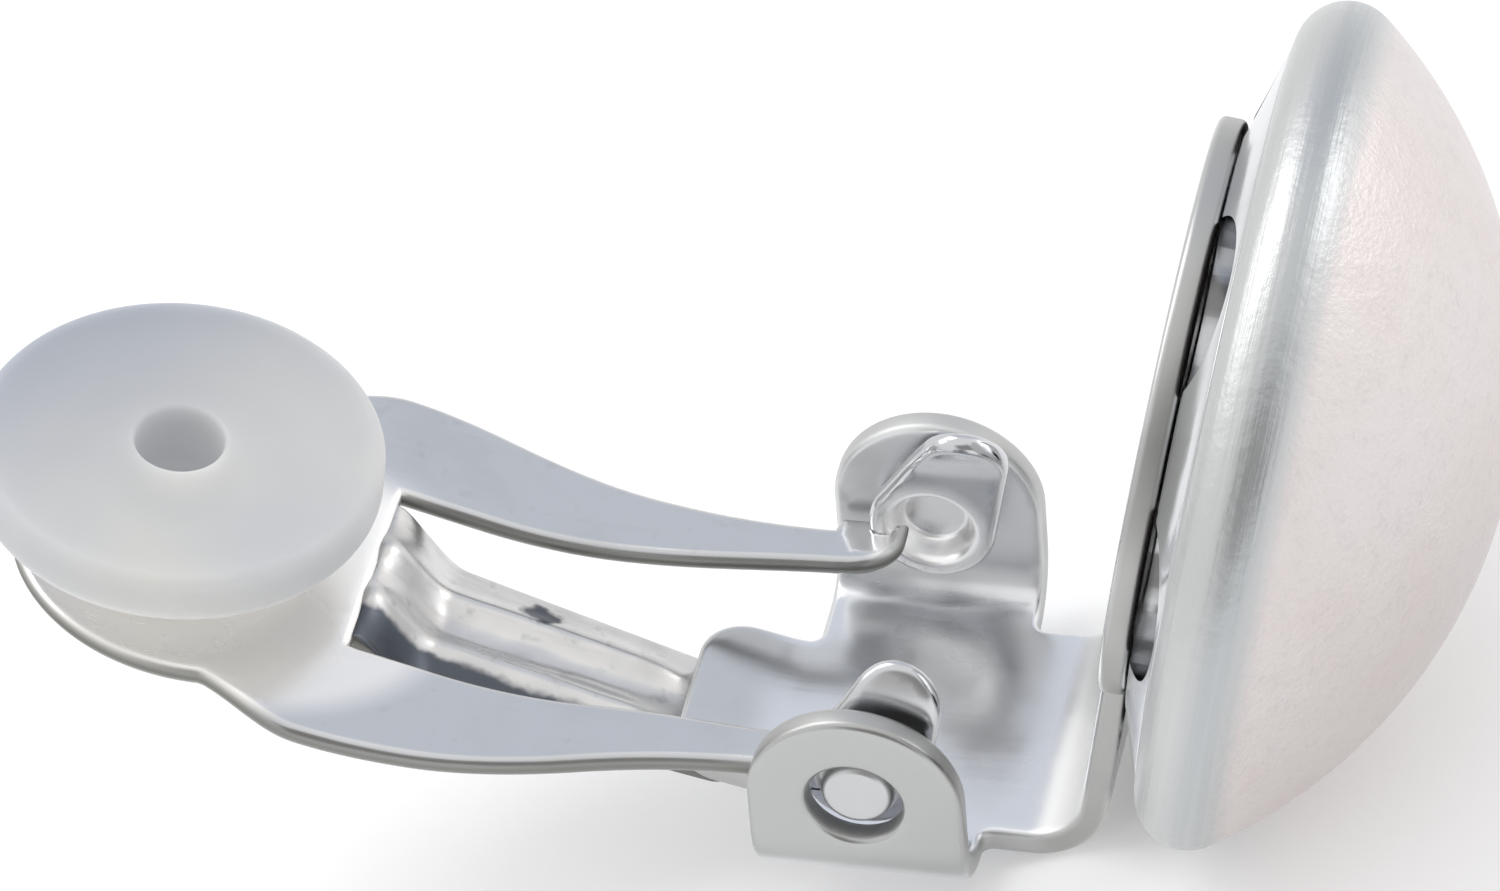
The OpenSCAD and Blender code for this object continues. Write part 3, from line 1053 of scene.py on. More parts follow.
@dataclass
class DomeFront:
    """The hollow dome and the plate that closes it behind. In mm."""

    dome_diameter: float = 14.7
    curve_radius: float = 8.87
    rim_radius: float = 0.9
    wall: float = 0.4
    plate_wall: float = 0.4
    flat_radius: float = 5.15
    slope_deg: float = 19.5
    sheet: float = 0.5
    seat_gap: float = 0.03
    vents: int = 6
    vent_diameter: float = 3.2
    vent_ring: float = 4.7
    first_vent_deg: float = 26.5
    drill_depth: float = 6.0
    lip_end_deg: float = -84.0
    lip_radius_back: float = 0.06
    shell_steps: int = 200
    plate_steps: int = 160

    @property
    def lip_radius(self) -> float:
        """Radius where the rim's rounding begins."""
        return self.dome_diameter / 2.0 - self.rim_radius

    @property
    def lip_at(self) -> float:
        """Height of the lip over the pad's back face."""
        rise = (self.lip_radius - self.flat_radius) * math.tan(math.radians(self.slope_deg))
        return self.sheet + self.seat_gap + rise

    @property
    def rim_at(self) -> float:
        """Height of the middle of the rim's rounding."""
        return self.lip_at + self.rim_radius

    @property
    def centre_at(self) -> float:
        """Height of the middle of the domed face's sphere."""
        return self.rim_at - math.sqrt((self.curve_radius - self.rim_radius) ** 2 - self.lip_radius**2)

    def shell_profile(self) -> np.ndarray:
        """Draws the closed profile of the shell's wall, from the apex round the rim and back inside.

        Returns:
            Its points, as radius and height.
        """
        rim_at, centre = self.rim_at, self.centre_at
        join = math.degrees(math.asin(self.lip_radius / (self.curve_radius - self.rim_radius)))
        inner_rim = self.rim_radius - self.wall
        cap = arc((0.0, centre), self.curve_radius, 90.0, 90.0 - join, 64)
        rim = arc((self.lip_radius, rim_at), self.rim_radius, 90.0 - join, self.lip_end_deg, 40)[1:]
        soft = self.lip_radius_back
        lip = arc((self.lip_radius + soft, self.lip_at + 0.062), soft, self.lip_end_deg, -180.0, 5)[1:]
        under = arc((self.lip_radius, rim_at), inner_rim, -90.0, 90.0 - join, 20)
        roof = arc((0.0, centre), self.curve_radius - self.wall, 90.0 - join, 90.0, 40)[1:]
        return np.vstack([cap, rim, lip, under, roof])

    def plate_profile(self) -> np.ndarray:
        """Draws the profile of the closing plate, from its back face to its front face.

        Returns:
            Its points, as radius and height.
        """
        low = self.sheet + self.seat_gap
        edge = self.lip_radius - self.seat_gap
        rise = (edge - self.flat_radius) * math.tan(math.radians(self.slope_deg))
        line = rounded(
            [
                (0.0, low, 0.0),
                (self.flat_radius, low, 0.5),
                (edge, low + rise, 0.08),
                (edge, low + rise + self.plate_wall, 0.05),
                (self.flat_radius, low + self.plate_wall, 0.5),
                (0.0, low + self.plate_wall, 0.0),
            ]
        )
        return stepped(line, 0.4)

    def build(self, finishes: "FinishSet") -> None:
        """Makes the shell and the plate.

        Args:
            finishes: The finishes.
        """
        shell = turned("dome_shell_skin", self.shell_profile(), finishes.dome, self.shell_steps)
        shell.transform(PAD_TO_PART)
        piece = finished("dome_shell_skin", shell, finishes.dome)
        dress(piece, Body.FRONT, "dome_shell")
        plate = turned("back_plate_skin", self.plate_profile(), finishes.metal, self.plate_steps)
        sizes = {
            "Vents": self.vents,
            "Ring radius": self.vent_ring,
            "Vent radius": self.vent_diameter / 2.0,
            "First angle": math.radians(180.0 + self.first_vent_deg),
            "Depth": self.drill_depth,
        }
        plate = run_tree(plate, vent_tree(), sizes, finishes.metal)
        plate.transform(PAD_TO_PART)
        piece = finished("back_plate_skin", plate, finishes.metal)
        dress(piece, Body.FRONT, "back_plate")


@dataclass
class ClipBracket:
    """The folded bracket: pad, neck, plate, ears and tail from one blank. In mm."""

    sheet: float = 0.5
    pad_diameter: float = 10.0
    plate_width: float = 5.2
    plate_drop: float = 1.8
    tail_width: float = 3.6
    tail_reach: float = 3.9
    tail_lift_deg: float = 14.0
    tail_bend_radius: float = 1.5
    tail_corner: float = 0.9
    neck_bend_radius: float = 0.95
    bracket_width: float = 8.2
    ear_width: float = 3.8
    ear_bend_radius: float = 0.8
    hole_diameter: float = 1.7
    corner: float = 0.2
    edge: float = 0.13
    # how far the cut edge is darkened, partly as painted shade
    edge_cut: float = 0.7

    def __post_init__(self) -> None:
        """Works out the blank's lengths from the folded sizes."""
        lean = math.radians(PAD.lean_deg)
        self.bend_z = -self.plate_drop + self.neck_bend_radius
        fall = (self.bend_z - PAD.height) * math.sin(lean)
        self.bend_x = PAD.forward + (-self.neck_bend_radius + fall) / math.cos(lean)
        drop = PAD.height - self.bend_z + self.neck_bend_radius * math.sin(lean)
        self.neck_length = drop / math.cos(lean)
        self.bend_turn = math.pi / 2.0 - lean
        self.middle = self.neck_bend_radius + self.sheet / 2.0
        self.pad_at = self.bend_x + self.middle * self.bend_turn + self.neck_length
        self.tail_bend_at = self.ear_width / 2.0 + 0.1
        self.tail_turn = math.radians(self.tail_lift_deg)
        self.tail_middle = self.tail_bend_radius + self.sheet / 2.0
        bent = self.tail_bend_radius * math.sin(self.tail_turn)
        self.tail_straight = self.tail_reach - self.tail_bend_at - bent
        self.tail_end = -self.tail_bend_at - self.tail_middle * self.tail_turn - self.tail_straight
        self.ear_start = self.bracket_width / 2.0 - self.sheet - self.ear_bend_radius
        self.ear_middle = self.ear_bend_radius + self.sheet / 2.0
        self.ear_bend_z = -self.plate_drop + self.ear_bend_radius
        self.ear_upright = self.ear_start + self.ear_middle * math.pi / 2.0
        self.hinge_at = self.ear_upright - self.ear_bend_z

    def fold(self, s: np.ndarray, w: np.ndarray) -> Field:
        """Bends the flat blank.

        Args:
            s: Places along the blank.
            w: Places across it.

        Returns:
            The middle of the sheet and its upper side's direction.
        """
        zero = np.zeros_like(s)
        floor = -self.plate_drop - self.sheet / 2.0
        turn = np.clip((s - self.bend_x) / self.middle, 0.0, self.bend_turn)
        rest = np.maximum(s - self.bend_x - self.middle * self.bend_turn, 0.0)
        back = np.clip((-self.tail_bend_at - s) / self.tail_middle, 0.0, self.tail_turn)
        tail = np.maximum(-self.tail_bend_at - s - self.tail_middle * self.tail_turn, 0.0)
        x = np.clip(s, -self.tail_bend_at, self.bend_x)
        x = x + self.middle * np.sin(turn) + rest * np.cos(turn)
        x = x - self.tail_middle * np.sin(back) - tail * np.cos(back)
        z = floor + self.middle * (1.0 - np.cos(turn)) + rest * np.sin(turn)
        z = z + self.tail_middle * (1.0 - np.cos(back)) + tail * np.sin(back)
        normal = np.stack([-np.sin(turn) + np.sin(back), zero, np.cos(turn) * np.cos(back)], 1)
        normal /= np.linalg.norm(normal, axis=1)[:, None]
        plate = s < self.bend_x
        side = np.sign(w)
        up = np.where(plate, np.clip((np.abs(w) - self.ear_start) / self.ear_middle, 0.0, math.pi / 2.0), 0.0)
        over = np.where(plate, np.maximum(np.abs(w) - self.ear_upright, 0.0), 0.0)
        flat = np.where(plate, np.minimum(np.abs(w), self.ear_start), np.abs(w))
        y = side * (flat + self.ear_middle * np.sin(up))
        z = z + self.ear_middle * (1.0 - np.cos(up)) + over
        ear = np.stack([zero, -side * np.sin(up), np.cos(up)], 1)
        folded = (up > 0.0)[:, None]
        return np.stack([x, y, z], 1), np.where(folded, ear, normal)

    def outline(self) -> np.ndarray:
        """Draws the blank's outline, with the metal on its left.

        Returns:
            Its points.
        """
        pad, plate, tail = self.pad_diameter / 2.0, self.plate_width / 2.0, self.tail_width / 2.0
        ear, soft, round_off = self.ear_width / 2.0, self.corner, self.tail_corner
        meet = 180.0 - math.degrees(math.asin(plate / pad))
        half = np.vstack(
            [
                arc((self.pad_at, 0.0), pad, 0.0, meet - 1.0, 100),
                arc((ear + soft, plate + soft), soft, -90.0, -180.0, 5),
                arc((0.0, self.hinge_at), ear, 0.0, 180.0, 56),
                arc((-ear - soft, tail + soft), soft, 0.0, -90.0, 5),
                arc((self.tail_end + round_off, tail - round_off), round_off, 90.0, 180.0, 16),
            ]
        )
        mirror = half[::-1] * np.array([1.0, -1.0])
        return np.vstack([half, mirror[:-1]])

    def build(self, finishes: "FinishSet") -> None:
        """Makes the bracket.

        Args:
            finishes: The finishes.
        """
        bore = self.hole_diameter / 2.0
        holes = [arc((0.0, k * self.hinge_at), bore, 0.0, -360.0, 56)[:-1] for k in (1, -1)]
        blank = SheetMetal(self.outline(), self.fold, self.sheet, holes, edge=self.edge, cut=self.edge_cut)
        piece = finished("clip_bracket_skin", blank.mesh("clip_bracket_skin", REST.matrix()), finishes.folded)
        dress(piece, Body.FRONT, "clip_bracket")


@dataclass
class PaddleLine:
    """The side line and the half widths of the paddle, against the distance behind the hinge. In mm."""

    arm_level: float = -0.2
    body_rise: float = 0.31
    head_rise: float = 0.165
    rise_start: float = 5.2
    rise_full: float = 8.0
    head_start: float = 10.3
    head_full: float = 11.8
    head_reach: float = 12.2
    head_radius: float = 3.7
    body_width: float = 8.8
    body_peak: float = 9.8
    slot_reach: float = 9.4
    slot_width: float = 3.9
    arm_width: float = 0.9
    arm_half: float = 3.08
    spread_from: float = 1.6
    spread_power: float = 1.35
    slot_even_from: float = 5.0
    slot_taper: float = 4.0

    @staticmethod
    def ramp(u: np.ndarray, a: float, b: float) -> np.ndarray:
        """Returns a line that starts to rise at a and rises fully from b."""
        part = np.clip(u - a, 0.0, b - a)
        return part**2 / (2.0 * (b - a)) + np.maximum(u - b, 0.0)

    def height(self, u: np.ndarray) -> np.ndarray:
        """Returns the height of the top face."""
        rise = self.body_rise * self.ramp(u, self.rise_start, self.rise_full)
        fall = (self.body_rise - self.head_rise) * self.ramp(u, self.head_start, self.head_full)
        return self.arm_level + rise - fall

    def slope(self, u: np.ndarray) -> np.ndarray:
        """Returns the slope of the top face."""
        return (self.height(u + 0.01) - self.height(u - 0.01)) / 0.02

    def body_half(self, u: np.ndarray) -> np.ndarray:
        """Works out half the width of the arms, body and head.

        Args:
            u: Distances behind the hinge.

        Returns:
            The half widths.
        """
        full = self.body_width / 2.0
        rise = smooth_step((u - self.spread_from) / (self.body_peak - self.spread_from)) ** self.spread_power
        front = self.arm_half + (full - self.arm_half) * rise
        end = self.head_radius - 0.15
        back = end + (full - end) * smooth_step((self.head_reach - u) / (self.head_reach - self.body_peak))
        body = np.where(u < self.body_peak, front, back)
        head = np.sqrt(np.maximum(self.head_radius**2 - (u - self.head_reach) ** 2, 0.0))
        return np.maximum(body, head)

    def slot_half(self, u: np.ndarray) -> np.ndarray:
        """Returns half the width of the slot."""
        spread = self.arm_half - self.arm_width - self.slot_width / 2.0
        return self.slot_width / 2.0 + spread * smooth_step((self.slot_even_from - u) / self.slot_taper)


@dataclass
class Paddle:
    """The stamped paddle with its two lugs and pressed hinge bosses. In mm."""

    line: PaddleLine = field(default_factory=PaddleLine)
    sheet: float = 0.4
    lug_outer: float = 3.38
    lug_radius: float = 1.15
    lug_end: tuple[float, float] = (0.65, 1.55)
    lug_end_radius: float = 0.8
    boss_radius: float = 0.84
    boss_end_radius: float = 0.55
    boss_height: float = 0.5
    curl: float = 0.33
    curl_from: float = 1.3
    arm_end: float = 1.7
    arm_tip: float = 0.5
    arm_corner: float = 1.0
    edge: float = 0.18
    lug_edge: float = 0.16
    # how far the lugs' cut edges are darkened, partly as painted shade
    lug_edge_cut: float = 0.3
    # the box round the slot's root where the edge is not darkened, so the painted highlight there stays
    # bright
    bright_root: tuple[float, float, float, float] = (-9.7, -8.9, -1.9, 1.9)

    def fold(self, x: np.ndarray, y: np.ndarray) -> Field:
        """Bends the flat blank along the side line.

        Args:
            x: Places along the blank, with the hinge at 0.
            y: Places across it.

        Returns:
            The middle of the sheet and its upper side's direction.
        """
        slope = self.line.slope(-x)
        normal = np.stack([slope, np.zeros_like(x), np.ones_like(x)], 1)
        normal /= np.linalg.norm(normal, axis=1)[:, None]
        top = np.stack([x, y, self.line.height(-x)], 1)
        return top - normal * self.sheet / 2.0, normal

    def outline(self) -> np.ndarray:
        """Draws the blank's outline, with the metal on its left.

        Returns:
            Its points.
        """
        line = self.line
        inner = line.arm_half - line.arm_width
        u = np.arange(self.arm_end + 0.1, line.head_reach, 0.1)
        side = np.stack([-u, line.body_half(u)], 1)
        head = arc((-line.head_reach, 0.0), line.head_radius, 90.0, 180.0, 50)
        bend = self.arm_tip + self.arm_corner
        slot = np.append(np.arange(bend, line.slot_reach, 0.1), line.slot_reach)[::-1]
        tip_y = self.lug_outer - self.sheet
        round_off = arc((0.0, 0.0), 1.0, -90.0, 0.0, 12) * [self.arm_corner, tip_y - inner] + [-bend, tip_y]
        half = np.vstack(
            [
                round_off,
                [[-self.arm_tip, self.lug_outer], [-self.arm_end, self.lug_outer]],
                side,
                head,
            ]
        )
        mirror = half[::-1] * np.array([1.0, -1.0])
        near = np.stack([-slot[::-1][1:], -line.slot_half(slot[::-1][1:])], 1)
        far = np.stack([-slot[:-1], line.slot_half(slot[:-1])], 1)
        return np.vstack([half, mirror[1:], near, far])

    def lug_fold(self, side: float) -> Fold:
        """Makes the fold of one upright lug, with its boss pressed outwards.

        Args:
            side: 1 for the far lug and -1 for the near one.

        Returns:
            The fold.
        """
        middle = self.lug_outer - self.sheet / 2.0

        def stand(a: np.ndarray, b: np.ndarray) -> Field:
            """Stands the flat lug up and presses its boss.

            Args:
                a: Places along the clip.
                b: Heights.

            Returns:
                The middle of the sheet and the direction of its inner side.
            """
            gone = (self.boss_radius - np.hypot(a, b)) / (self.boss_radius - self.boss_end_radius)
            curl = np.maximum(b - self.curl_from, 0.0)
            y = side * (middle + self.boss_height * smooth_step(gone) - self.curl * curl**2)
            inward = np.stack([np.zeros_like(a), np.full_like(a, -side), -2.0 * self.curl * curl], 1)
            return np.stack([a, y, b], 1), inward / np.linalg.norm(inward, axis=1)[:, None]

        return stand

    def build(self, finishes: "FinishSet") -> None:
        """Makes the paddle.

        Args:
            finishes: The finishes.
        """
        place = REST.matrix()
        blank = SheetMetal(self.outline(), self.fold, self.sheet, edge=self.edge, kept=self.bright_root)
        piece = finished("paddle_blank", blank.mesh("paddle_blank", place), finishes.painted_sheen)
        rings = arc((0.0, 0.0), self.lug_radius, 0.0, 360.0, 60)[:-1]
        ends = arc(self.lug_end, self.lug_end_radius, 0.0, 360.0, 60)[:-1]
        cloud = np.vstack([rings, ends])
        hull = cloud[convex_hull_2d([tuple(p) for p in cloud])]
        radii = np.linspace(self.boss_end_radius - 0.09, self.boss_radius + 0.06, 9)
        press = np.vstack([arc((0.0, 0.0), r, 0.0, 360.0, 64)[:-1] for r in radii])
        for side in (1.0, -1.0):
            lug = SheetMetal(hull, self.lug_fold(side), self.sheet, extra=press, step=0.1)
            lug.edge, lug.cut = self.lug_edge, self.lug_edge_cut
            made = finished("lug", lug.mesh("lug", place), finishes.painted_sheen)
            union = piece.modifiers.new("weld", "BOOLEAN")
            union.operation, union.solver, union.object = "UNION", "EXACT", made
            graph = bpy.context.evaluated_depsgraph_get()
            joined = bpy.data.meshes.new_from_object(piece.evaluated_get(graph))
            piece.modifiers.clear()
            piece.data = joined
            bpy.data.objects.remove(made)
        final = finished("paddle_skin", piece.data, finishes.painted_sheen)
        bpy.data.objects.remove(piece)
        dress(final, Body.PADDLE, "paddle")


@dataclass
class SpringTongue:
    """The sprung tongue with two pressed ribs. In mm."""

    line: PaddleLine = field(default_factory=PaddleLine)
    sheet: float = 0.4
    root_half: float = 1.75
    tip_half: float = 1.3
    fall_deg: float = 18.5
    root_reach: float = 9.5
    tip_reach: float = 2.8
    jog_start: float = 9.44
    jog_length: float = 1.2
    root_drop: float = 0.05
    zero_height: float = -3.3003
    rib_height: float = 0.17
    rib_at: float = 0.62
    rib_width: float = 0.3
    rib_end: float = 3.4
    rib_end_fade: float = 1.6
    crown: float = 0.2
    crown_from: float = 0.9
    crown_width: float = 0.9
    tip_corner: float = 0.5
    step: float = 0.09

    def height(self, u: np.ndarray) -> np.ndarray:
        """Works out the height of the top face, without the ribs.

        Args:
            u: Distances behind the hinge.

        Returns:
            The heights.
        """
        slope = math.tan(math.radians(self.fall_deg))
        run = self.zero_height + u * slope
        jog = float(self.line.height(np.array([self.jog_start]))[0])
        jog -= self.zero_height + self.jog_start * slope
        return run - self.root_drop + jog * (1.0 - smooth_step((self.jog_start - u) / self.jog_length))

    def fold(self, x: np.ndarray, y: np.ndarray) -> Field:
        """Bends the flat strip and presses its ribs.

        Args:
            x: Places along the strip.
            y: Places across it.

        Returns:
            The middle of the sheet and its upper side's direction.
        """

        def top(px: np.ndarray, py: np.ndarray) -> np.ndarray:
            """Works out the height of the top face with its ribs and its crown.

            Args:
                px: Places along the strip.
                py: Places across it.

            Returns:
                The heights.
            """
            fade = smooth_step((-px - self.rib_end) / self.rib_end_fade)
            fade = fade * smooth_step((self.root_reach + 0.3 + px) / 0.7)
            rib = np.exp(-(((np.abs(py) - self.rib_at) / self.rib_width) ** 2))
            side = smooth_step((np.abs(py) - self.crown_from) / self.crown_width)
            side = side * smooth_step((self.root_reach + px) / 0.9)
            return self.height(-px) + self.rib_height * rib * fade - self.crown * side

        h = 0.004
        along = (top(x + h, y) - top(x - h, y)) / (2.0 * h)
        across = (top(x, y + h) - top(x, y - h)) / (2.0 * h)
        normal = np.stack([-along, -across, np.ones_like(x)], 1)
        normal /= np.linalg.norm(normal, axis=1)[:, None]
        return np.stack([x, y, top(x, y)], 1) - normal * self.sheet / 2.0, normal

    def outline(self) -> np.ndarray:
        """Draws the strip's outline, with the metal on its left.

        Returns:
            Its points.
        """
        soft = self.tip_corner
        corner = arc((-self.tip_reach - soft, self.tip_half - soft), soft, 0.0, 88.0, 8)
        half = np.vstack([corner, [[-self.root_reach, self.root_half]]])
        return np.vstack([half, half[::-1] * np.array([1.0, -1.0])])

    def build(self, finishes: "FinishSet") -> None:
        """Makes the tongue.

        Args:
            finishes: The finishes.
        """
        strip = SheetMetal(self.outline(), self.fold, self.sheet, step=self.step)
        mesh = strip.mesh("spring_tongue_skin", REST.matrix())
        piece = finished("spring_tongue_skin", mesh, finishes.sprung)
        dress(piece, Body.PADDLE, "spring_tongue")


@dataclass
class ComfortCushion:
    """The soft disc on its foot. In mm."""

    line: PaddleLine = field(default_factory=PaddleLine)
    diameter: float = 7.3
    disc: float = 1.05
    height: float = 1.9
    foot_diameter: float = 5.2
    hole_diameter: float = 1.6
    hole_floor: float = 0.55
    seat_past_head: float = 0.85
    seat_gap: float = 0.03
    turn_steps: int = 144

    def seat(self) -> Matrix:
        """Works out where the cushion sits.

        Returns:
            The map from the cushion's frame in mm to the part's frame.
        """
        reach = self.line.head_reach + self.seat_past_head
        lift = float(self.line.height(np.array([reach]))[0])
        lean = Matrix.Rotation(math.atan(self.line.head_rise), 4, "Y")
        return REST.matrix() @ Matrix.Translation((-reach, 0.0, lift)) @ lean

    def profile(self) -> np.ndarray:
        """Draws the profile, from the seat's middle round the disc to the bottom of the hole.

        Returns:
            Its points, as radius and height.
        """
        low = self.height - self.disc
        r = self.diameter / 2.0
        line = rounded(
            [
                (0.0, self.seat_gap, 0.0),
                (self.foot_diameter / 2.0, self.seat_gap, 0.12),
                (self.foot_diameter / 2.0, low, 0.3),
                (r, low, 0.3),
                (r, self.height, 0.28),
                (self.hole_diameter / 2.0, self.height, 0.1),
                (self.hole_diameter / 2.0, self.hole_floor, 0.3),
                (0.0, self.hole_floor, 0.0),
            ],
            10,
        )
        return stepped(line, 0.2)

    def build(self, finishes: "FinishSet") -> None:
        """Makes the cushion.

        Args:
            finishes: The finishes.
        """
        mesh = turned("comfort_cushion_skin", self.profile(), finishes.silicone, self.turn_steps)
        mesh.transform(self.seat())
        piece = finished("comfort_cushion_skin", mesh, finishes.silicone)
        dress(piece, Body.PADDLE, "comfort_cushion")


class FinishSet:
    """The finishes of the earring."""

    def __init__(self) -> None:
        """Builds each material once."""
        # a uniform, hazier tone over the near lug
        near_lug = Patch((0.0, -2.6, 0.0), (0.62, 0.625, 0.635, 1.0), 1.7, 3.0)
        # painted highlight in the far boss's dimple
        far_boss = Patch((0.0, 3.2, 0.0), (1.0, 1.0, 1.0, 1.0), 0.8, 1.2, 0.16, (1.0, 0.3, 1.0))
        # painted reflection: the head round the cushion is painted brighter
        head = Patch((-11.5, -0.9, 0.0), (0.95, 0.93, 0.9, 1.0), 3.1, 3.8, 0.12, (1.0, 1.0, 0.0))
        # painted highlight at the slot's root
        slot_root = Patch((-9.6, 0.5, 0.3), (1.0, 1.0, 0.99, 1.0), 0.6, 2.3, 0.25, (1.6, 1.0, 0.0))
        # painted reflection: the plate is painted brighter
        plate = Patch((0.4, 0.0, -2.6), (0.78, 0.79, 0.81, 1.0), 3.2, 4.2, 0.0, (1.0, 0.0, 1.5))
        # painted shade: the pad and neck are painted darker
        pad_and_neck = Patch((4.6, 0.0, 5.5), (0.6, 0.605, 0.61, 1.0), 5.5, 6.4, 0.0, (1.0, 0.0, 1.0))
        # painted highlight on the neck's bend
        neck_bend = Patch((3.75, 0.0, -1.5), (0.88, 0.88, 0.87, 1.0), 0.7, 1.2, 0.25, (1.0, 0.0, 1.0))
        # painted shade: the near ear's outer side is painted darker
        near_ear = Patch((0.0, -4.4, 0.0), (0.5, 0.51, 0.505, 1.0), 0.35, 0.55, 0.0, (0.0, 1.0, 0.0))
        # painted highlight: the far ear is painted brighter
        far_ear = Patch((0.0, 3.7, 0.0), (0.86, 0.87, 0.88, 1.0), 0.25, 0.5, 0.1, (0.0, 1.0, 0.0))
        self.metal = PolishedSilver().build()
        # the paddle's patches of painted highlight and reflection
        painted_patch = (near_lug, far_boss, head, slot_root)
        self.painted_sheen = PolishedSilver(name="rubbed_silver", patches=painted_patch).build()
        self.dome = SatinDome().build()
        # the folded bracket, with patches of painted highlight, reflection and shade
        self.folded = PolishedSilver(
            name="folded_silver",
            bright=(0.64, 0.65, 0.66, 1.0),
            dull=(0.54, 0.545, 0.54, 1.0),
            dull_edge_and_shade=(0.43, 0.43, 0.415, 1.0),
            gloss=0.19,
            patches=(plate, pad_and_neck, neck_bend, near_ear, far_ear),
        ).build()
        self.sprung = PolishedSilver(
            name="sprung_silver",
            bright=(0.68, 0.675, 0.67, 1.0),
            dull=(0.26, 0.26, 0.265, 1.0),
            gloss=0.24,
            haze=0.3,
            wave_scale=900.0,
            wave_depth=0.00006,
            streak_depth=0.000006,
            # the dark spot on the tongue, which also brings the painted shade streak along its near side
            dark_spot_at=(-6.75, 0.98, -1.0),
        ).build()
        self.silicone = SoftSilicone().build()
        self.floor = PaleFloor().build()


def dress(piece: bpy.types.Object, body: Body, node: str) -> None:
    """Puts a piece on its body, in place of its solid.

    Args:
        piece: The piece.
        body: The body that it rides on.
        node: The solid that it stands for.
    """
    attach(piece, body.value)
    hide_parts(node)
    LOG.info("%s: %d faces on %s", piece.name, len(piece.data.polygons), body.value)


@dataclass(frozen=True)
class Lamp:
    """One soft square light. In metres."""

    name: str
    spot: tuple[float, float, float]
    aim: tuple[float, float, float]
    size: float
    glow: float

    def hang(self) -> None:
        """Hangs the light where it doesn't show."""
        data = bpy.data.lights.new(self.name, "AREA")
        data.size = self.size
        data.energy = self.glow * math.pi * self.size**2
        made = bpy.data.objects.new(self.name, data)
        made.location = self.spot
        made.rotation_euler = (Vector(self.aim) - Vector(self.spot)).to_track_quat("-Z", "Y").to_euler()
        made.visible_camera = False
        bpy.context.scene.collection.objects.link(made)


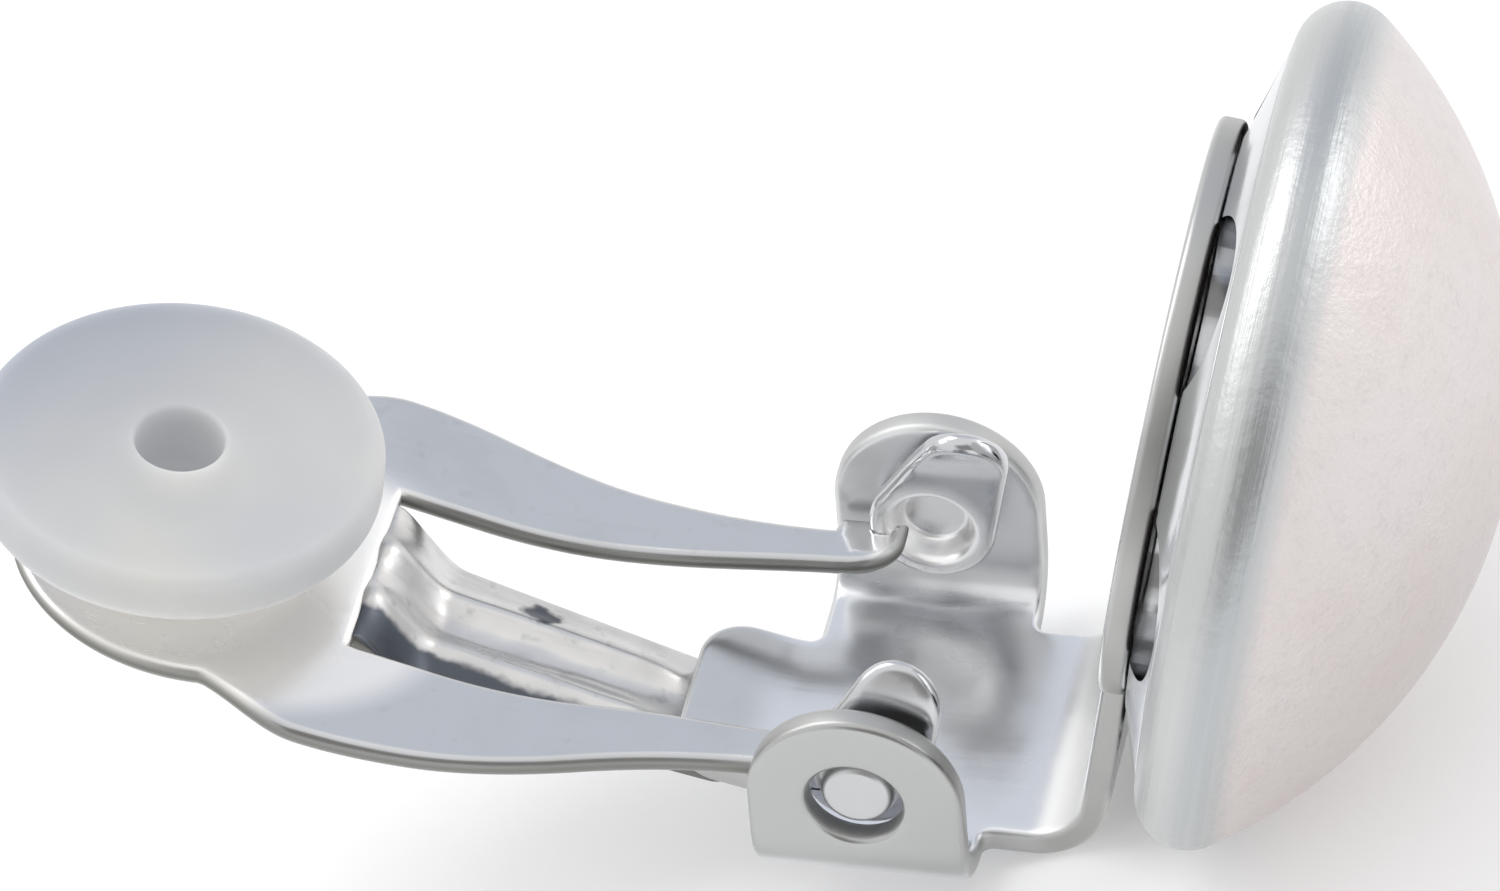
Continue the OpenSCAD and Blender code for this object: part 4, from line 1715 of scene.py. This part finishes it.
@dataclass
class Studio:
    """Floor, light and camera. Directions are an azimuth from +X and an elevation, in degrees."""

    azimuth_deg: float = 11.1
    elevation_deg: float = 43.9
    drop_deg: float = 3.23
    distance: float = 150.0
    focal_px: float = 8520.0
    hinge_px: tuple[float, float] = (898.8, 644.3)
    frame_px: tuple[float, float] = (1500.0, 891.0)
    horizon: Colour = (0.93, 0.93, 0.93, 1.0)
    zenith: Colour = (1.0, 1.0, 1.0, 1.0)
    bright_side: Colour = (1.25, 1.22, 1.2, 1.0)
    cool_side: Colour = (0.76, 0.79, 0.86, 1.0)
    dark_figure: Colour = (0.34, 0.33, 0.32, 1.0)
    bright_toward: tuple[float, float] = (25.0, 5.0)
    cool_toward: tuple[float, float] = (75.0, 40.0)
    figure_toward: tuple[float, float] = (-68.0, 0.0)
    floor_reach: float = 1.5
    sensor_mm: float = 36.0
    lamps: tuple[Lamp, ...] = (
        Lamp("over", (-0.03, 0.03, 0.12), (0.0, 0.0, 0.0), 0.06, 2.4),
        Lamp("left", (-0.08, 0.0, 0.11), (0.0, 0.0, 0.004), 0.05, 1.6),
        Lamp("right", (0.12, 0.05, 0.05), (0.004, 0.0, 0.006), 0.05, 2.2),
    )

    @staticmethod
    def toward(azimuth_deg: float, elevation_deg: float) -> Vector:
        """Returns the direction at an azimuth from +X and an elevation over the floor."""
        az, el = math.radians(azimuth_deg), math.radians(elevation_deg)
        return Vector((math.cos(az) * math.cos(el), math.sin(az) * math.cos(el), math.sin(el)))

    def floor(self, finish: bpy.types.Material) -> None:
        """Lays the floor.

        Args:
            finish: Its material.
        """
        mesh = bpy.data.meshes.new("floor")
        reach = self.floor_reach
        corners = [(-reach, -reach, 0), (reach, -reach, 0), (reach, reach, 0), (-reach, reach, 0)]
        mesh.from_pydata(corners, [], [(0, 1, 2, 3)])
        mesh.materials.append(finish)
        made = bpy.data.objects.new("floor", mesh)
        bpy.context.scene.collection.objects.link(made)

    def camera(self) -> None:
        """Sets the camera at the photograph's angle."""
        az, el = math.radians(self.azimuth_deg), math.radians(self.elevation_deg)
        right = Vector((math.cos(az), math.sin(az), 0.0))
        toward = Vector((math.sin(az) * math.cos(el), -math.cos(az) * math.cos(el), math.sin(el)))
        up = toward.cross(right)
        dx = self.frame_px[0] / 2.0 - self.hinge_px[0]
        dy = self.hinge_px[1] - self.frame_px[1] / 2.0
        ahead = (right * dx + up * dy - toward * self.focal_px).normalized()
        turn = Matrix.Rotation(math.radians(REST.tilt_deg + self.drop_deg), 3, "Y")
        spot = turn @ (toward * self.distance) * MM + Vector((REST.shift * MM, 0.0, REST.height * MM))
        back = -(turn @ ahead)
        side = (turn @ up).cross(back).normalized()
        data = bpy.data.cameras.new("camera")
        data.sensor_width = self.sensor_mm
        data.lens = self.focal_px / self.frame_px[0] * data.sensor_width
        data.clip_start, data.clip_end = 0.01, 10.0
        made = bpy.data.objects.new("camera", data)
        axes = Matrix((side, back.cross(side), back)).transposed()
        made.matrix_world = Matrix.Translation(spot) @ axes.to_4x4()
        bpy.context.scene.collection.objects.link(made)
        bpy.context.scene.camera = made

    def sky(self) -> None:
        """Wraps the room in a plain pale gradient, brighter and cooler to two sides, with one dark shape."""
        world = bpy.data.worlds.new("studio")
        world.use_nodes = True
        bpy.context.scene.world = world
        bench = Bench(world.node_tree)
        place = bench.node("ShaderNodeTexCoord").outputs["Generated"]
        height = bench.dot(place, (0.0, 0.0, 1.0))
        cool = bench.dot(place, self.toward(*self.cool_toward)).ease(0.84, 0.955)
        warm = bench.dot(place, self.toward(*self.bright_toward)).ease(0.6, 0.98)
        level = bench.dot(place, self.toward(*self.figure_toward)) / (1.0001 - height * height) ** 0.5
        figure = level.ease(0.78, 0.95) * (1.0 - height.ease(0.6, 0.8))
        base = bench.blend(height.ease(0.0, 0.9), self.horizon, self.zenith)
        lit = bench.blend(warm, base, self.bright_side)
        tinted = bench.blend(cool, lit, self.cool_side)
        tone = bench.blend(figure, tinted, self.dark_figure)
        shade = world.node_tree.nodes["Background"]
        bench.feed(shade.inputs["Color"], tone)
        shade.inputs["Strength"].default_value = 1.0

    def build(self, finish: bpy.types.Material) -> None:
        """Sets the whole studio.

        Args:
            finish: The floor's material.
        """
        self.floor(finish)
        self.camera()
        self.sky()
        for lamp in self.lamps:
            lamp.hang()
        bpy.context.scene.view_settings.view_transform = "Standard"


def main() -> None:
    """Builds the earring and its studio."""
    logging.basicConfig(level=logging.INFO, format="%(message)s")
    finishes = FinishSet()
    DomeFront().build(finishes)
    ClipBracket().build(finishes)
    Paddle().build(finishes)
    SpringTongue().build(finishes)
    ComfortCushion().build(finishes)
    Studio().build(finishes.floor)


if __name__ == "__main__":
    main()
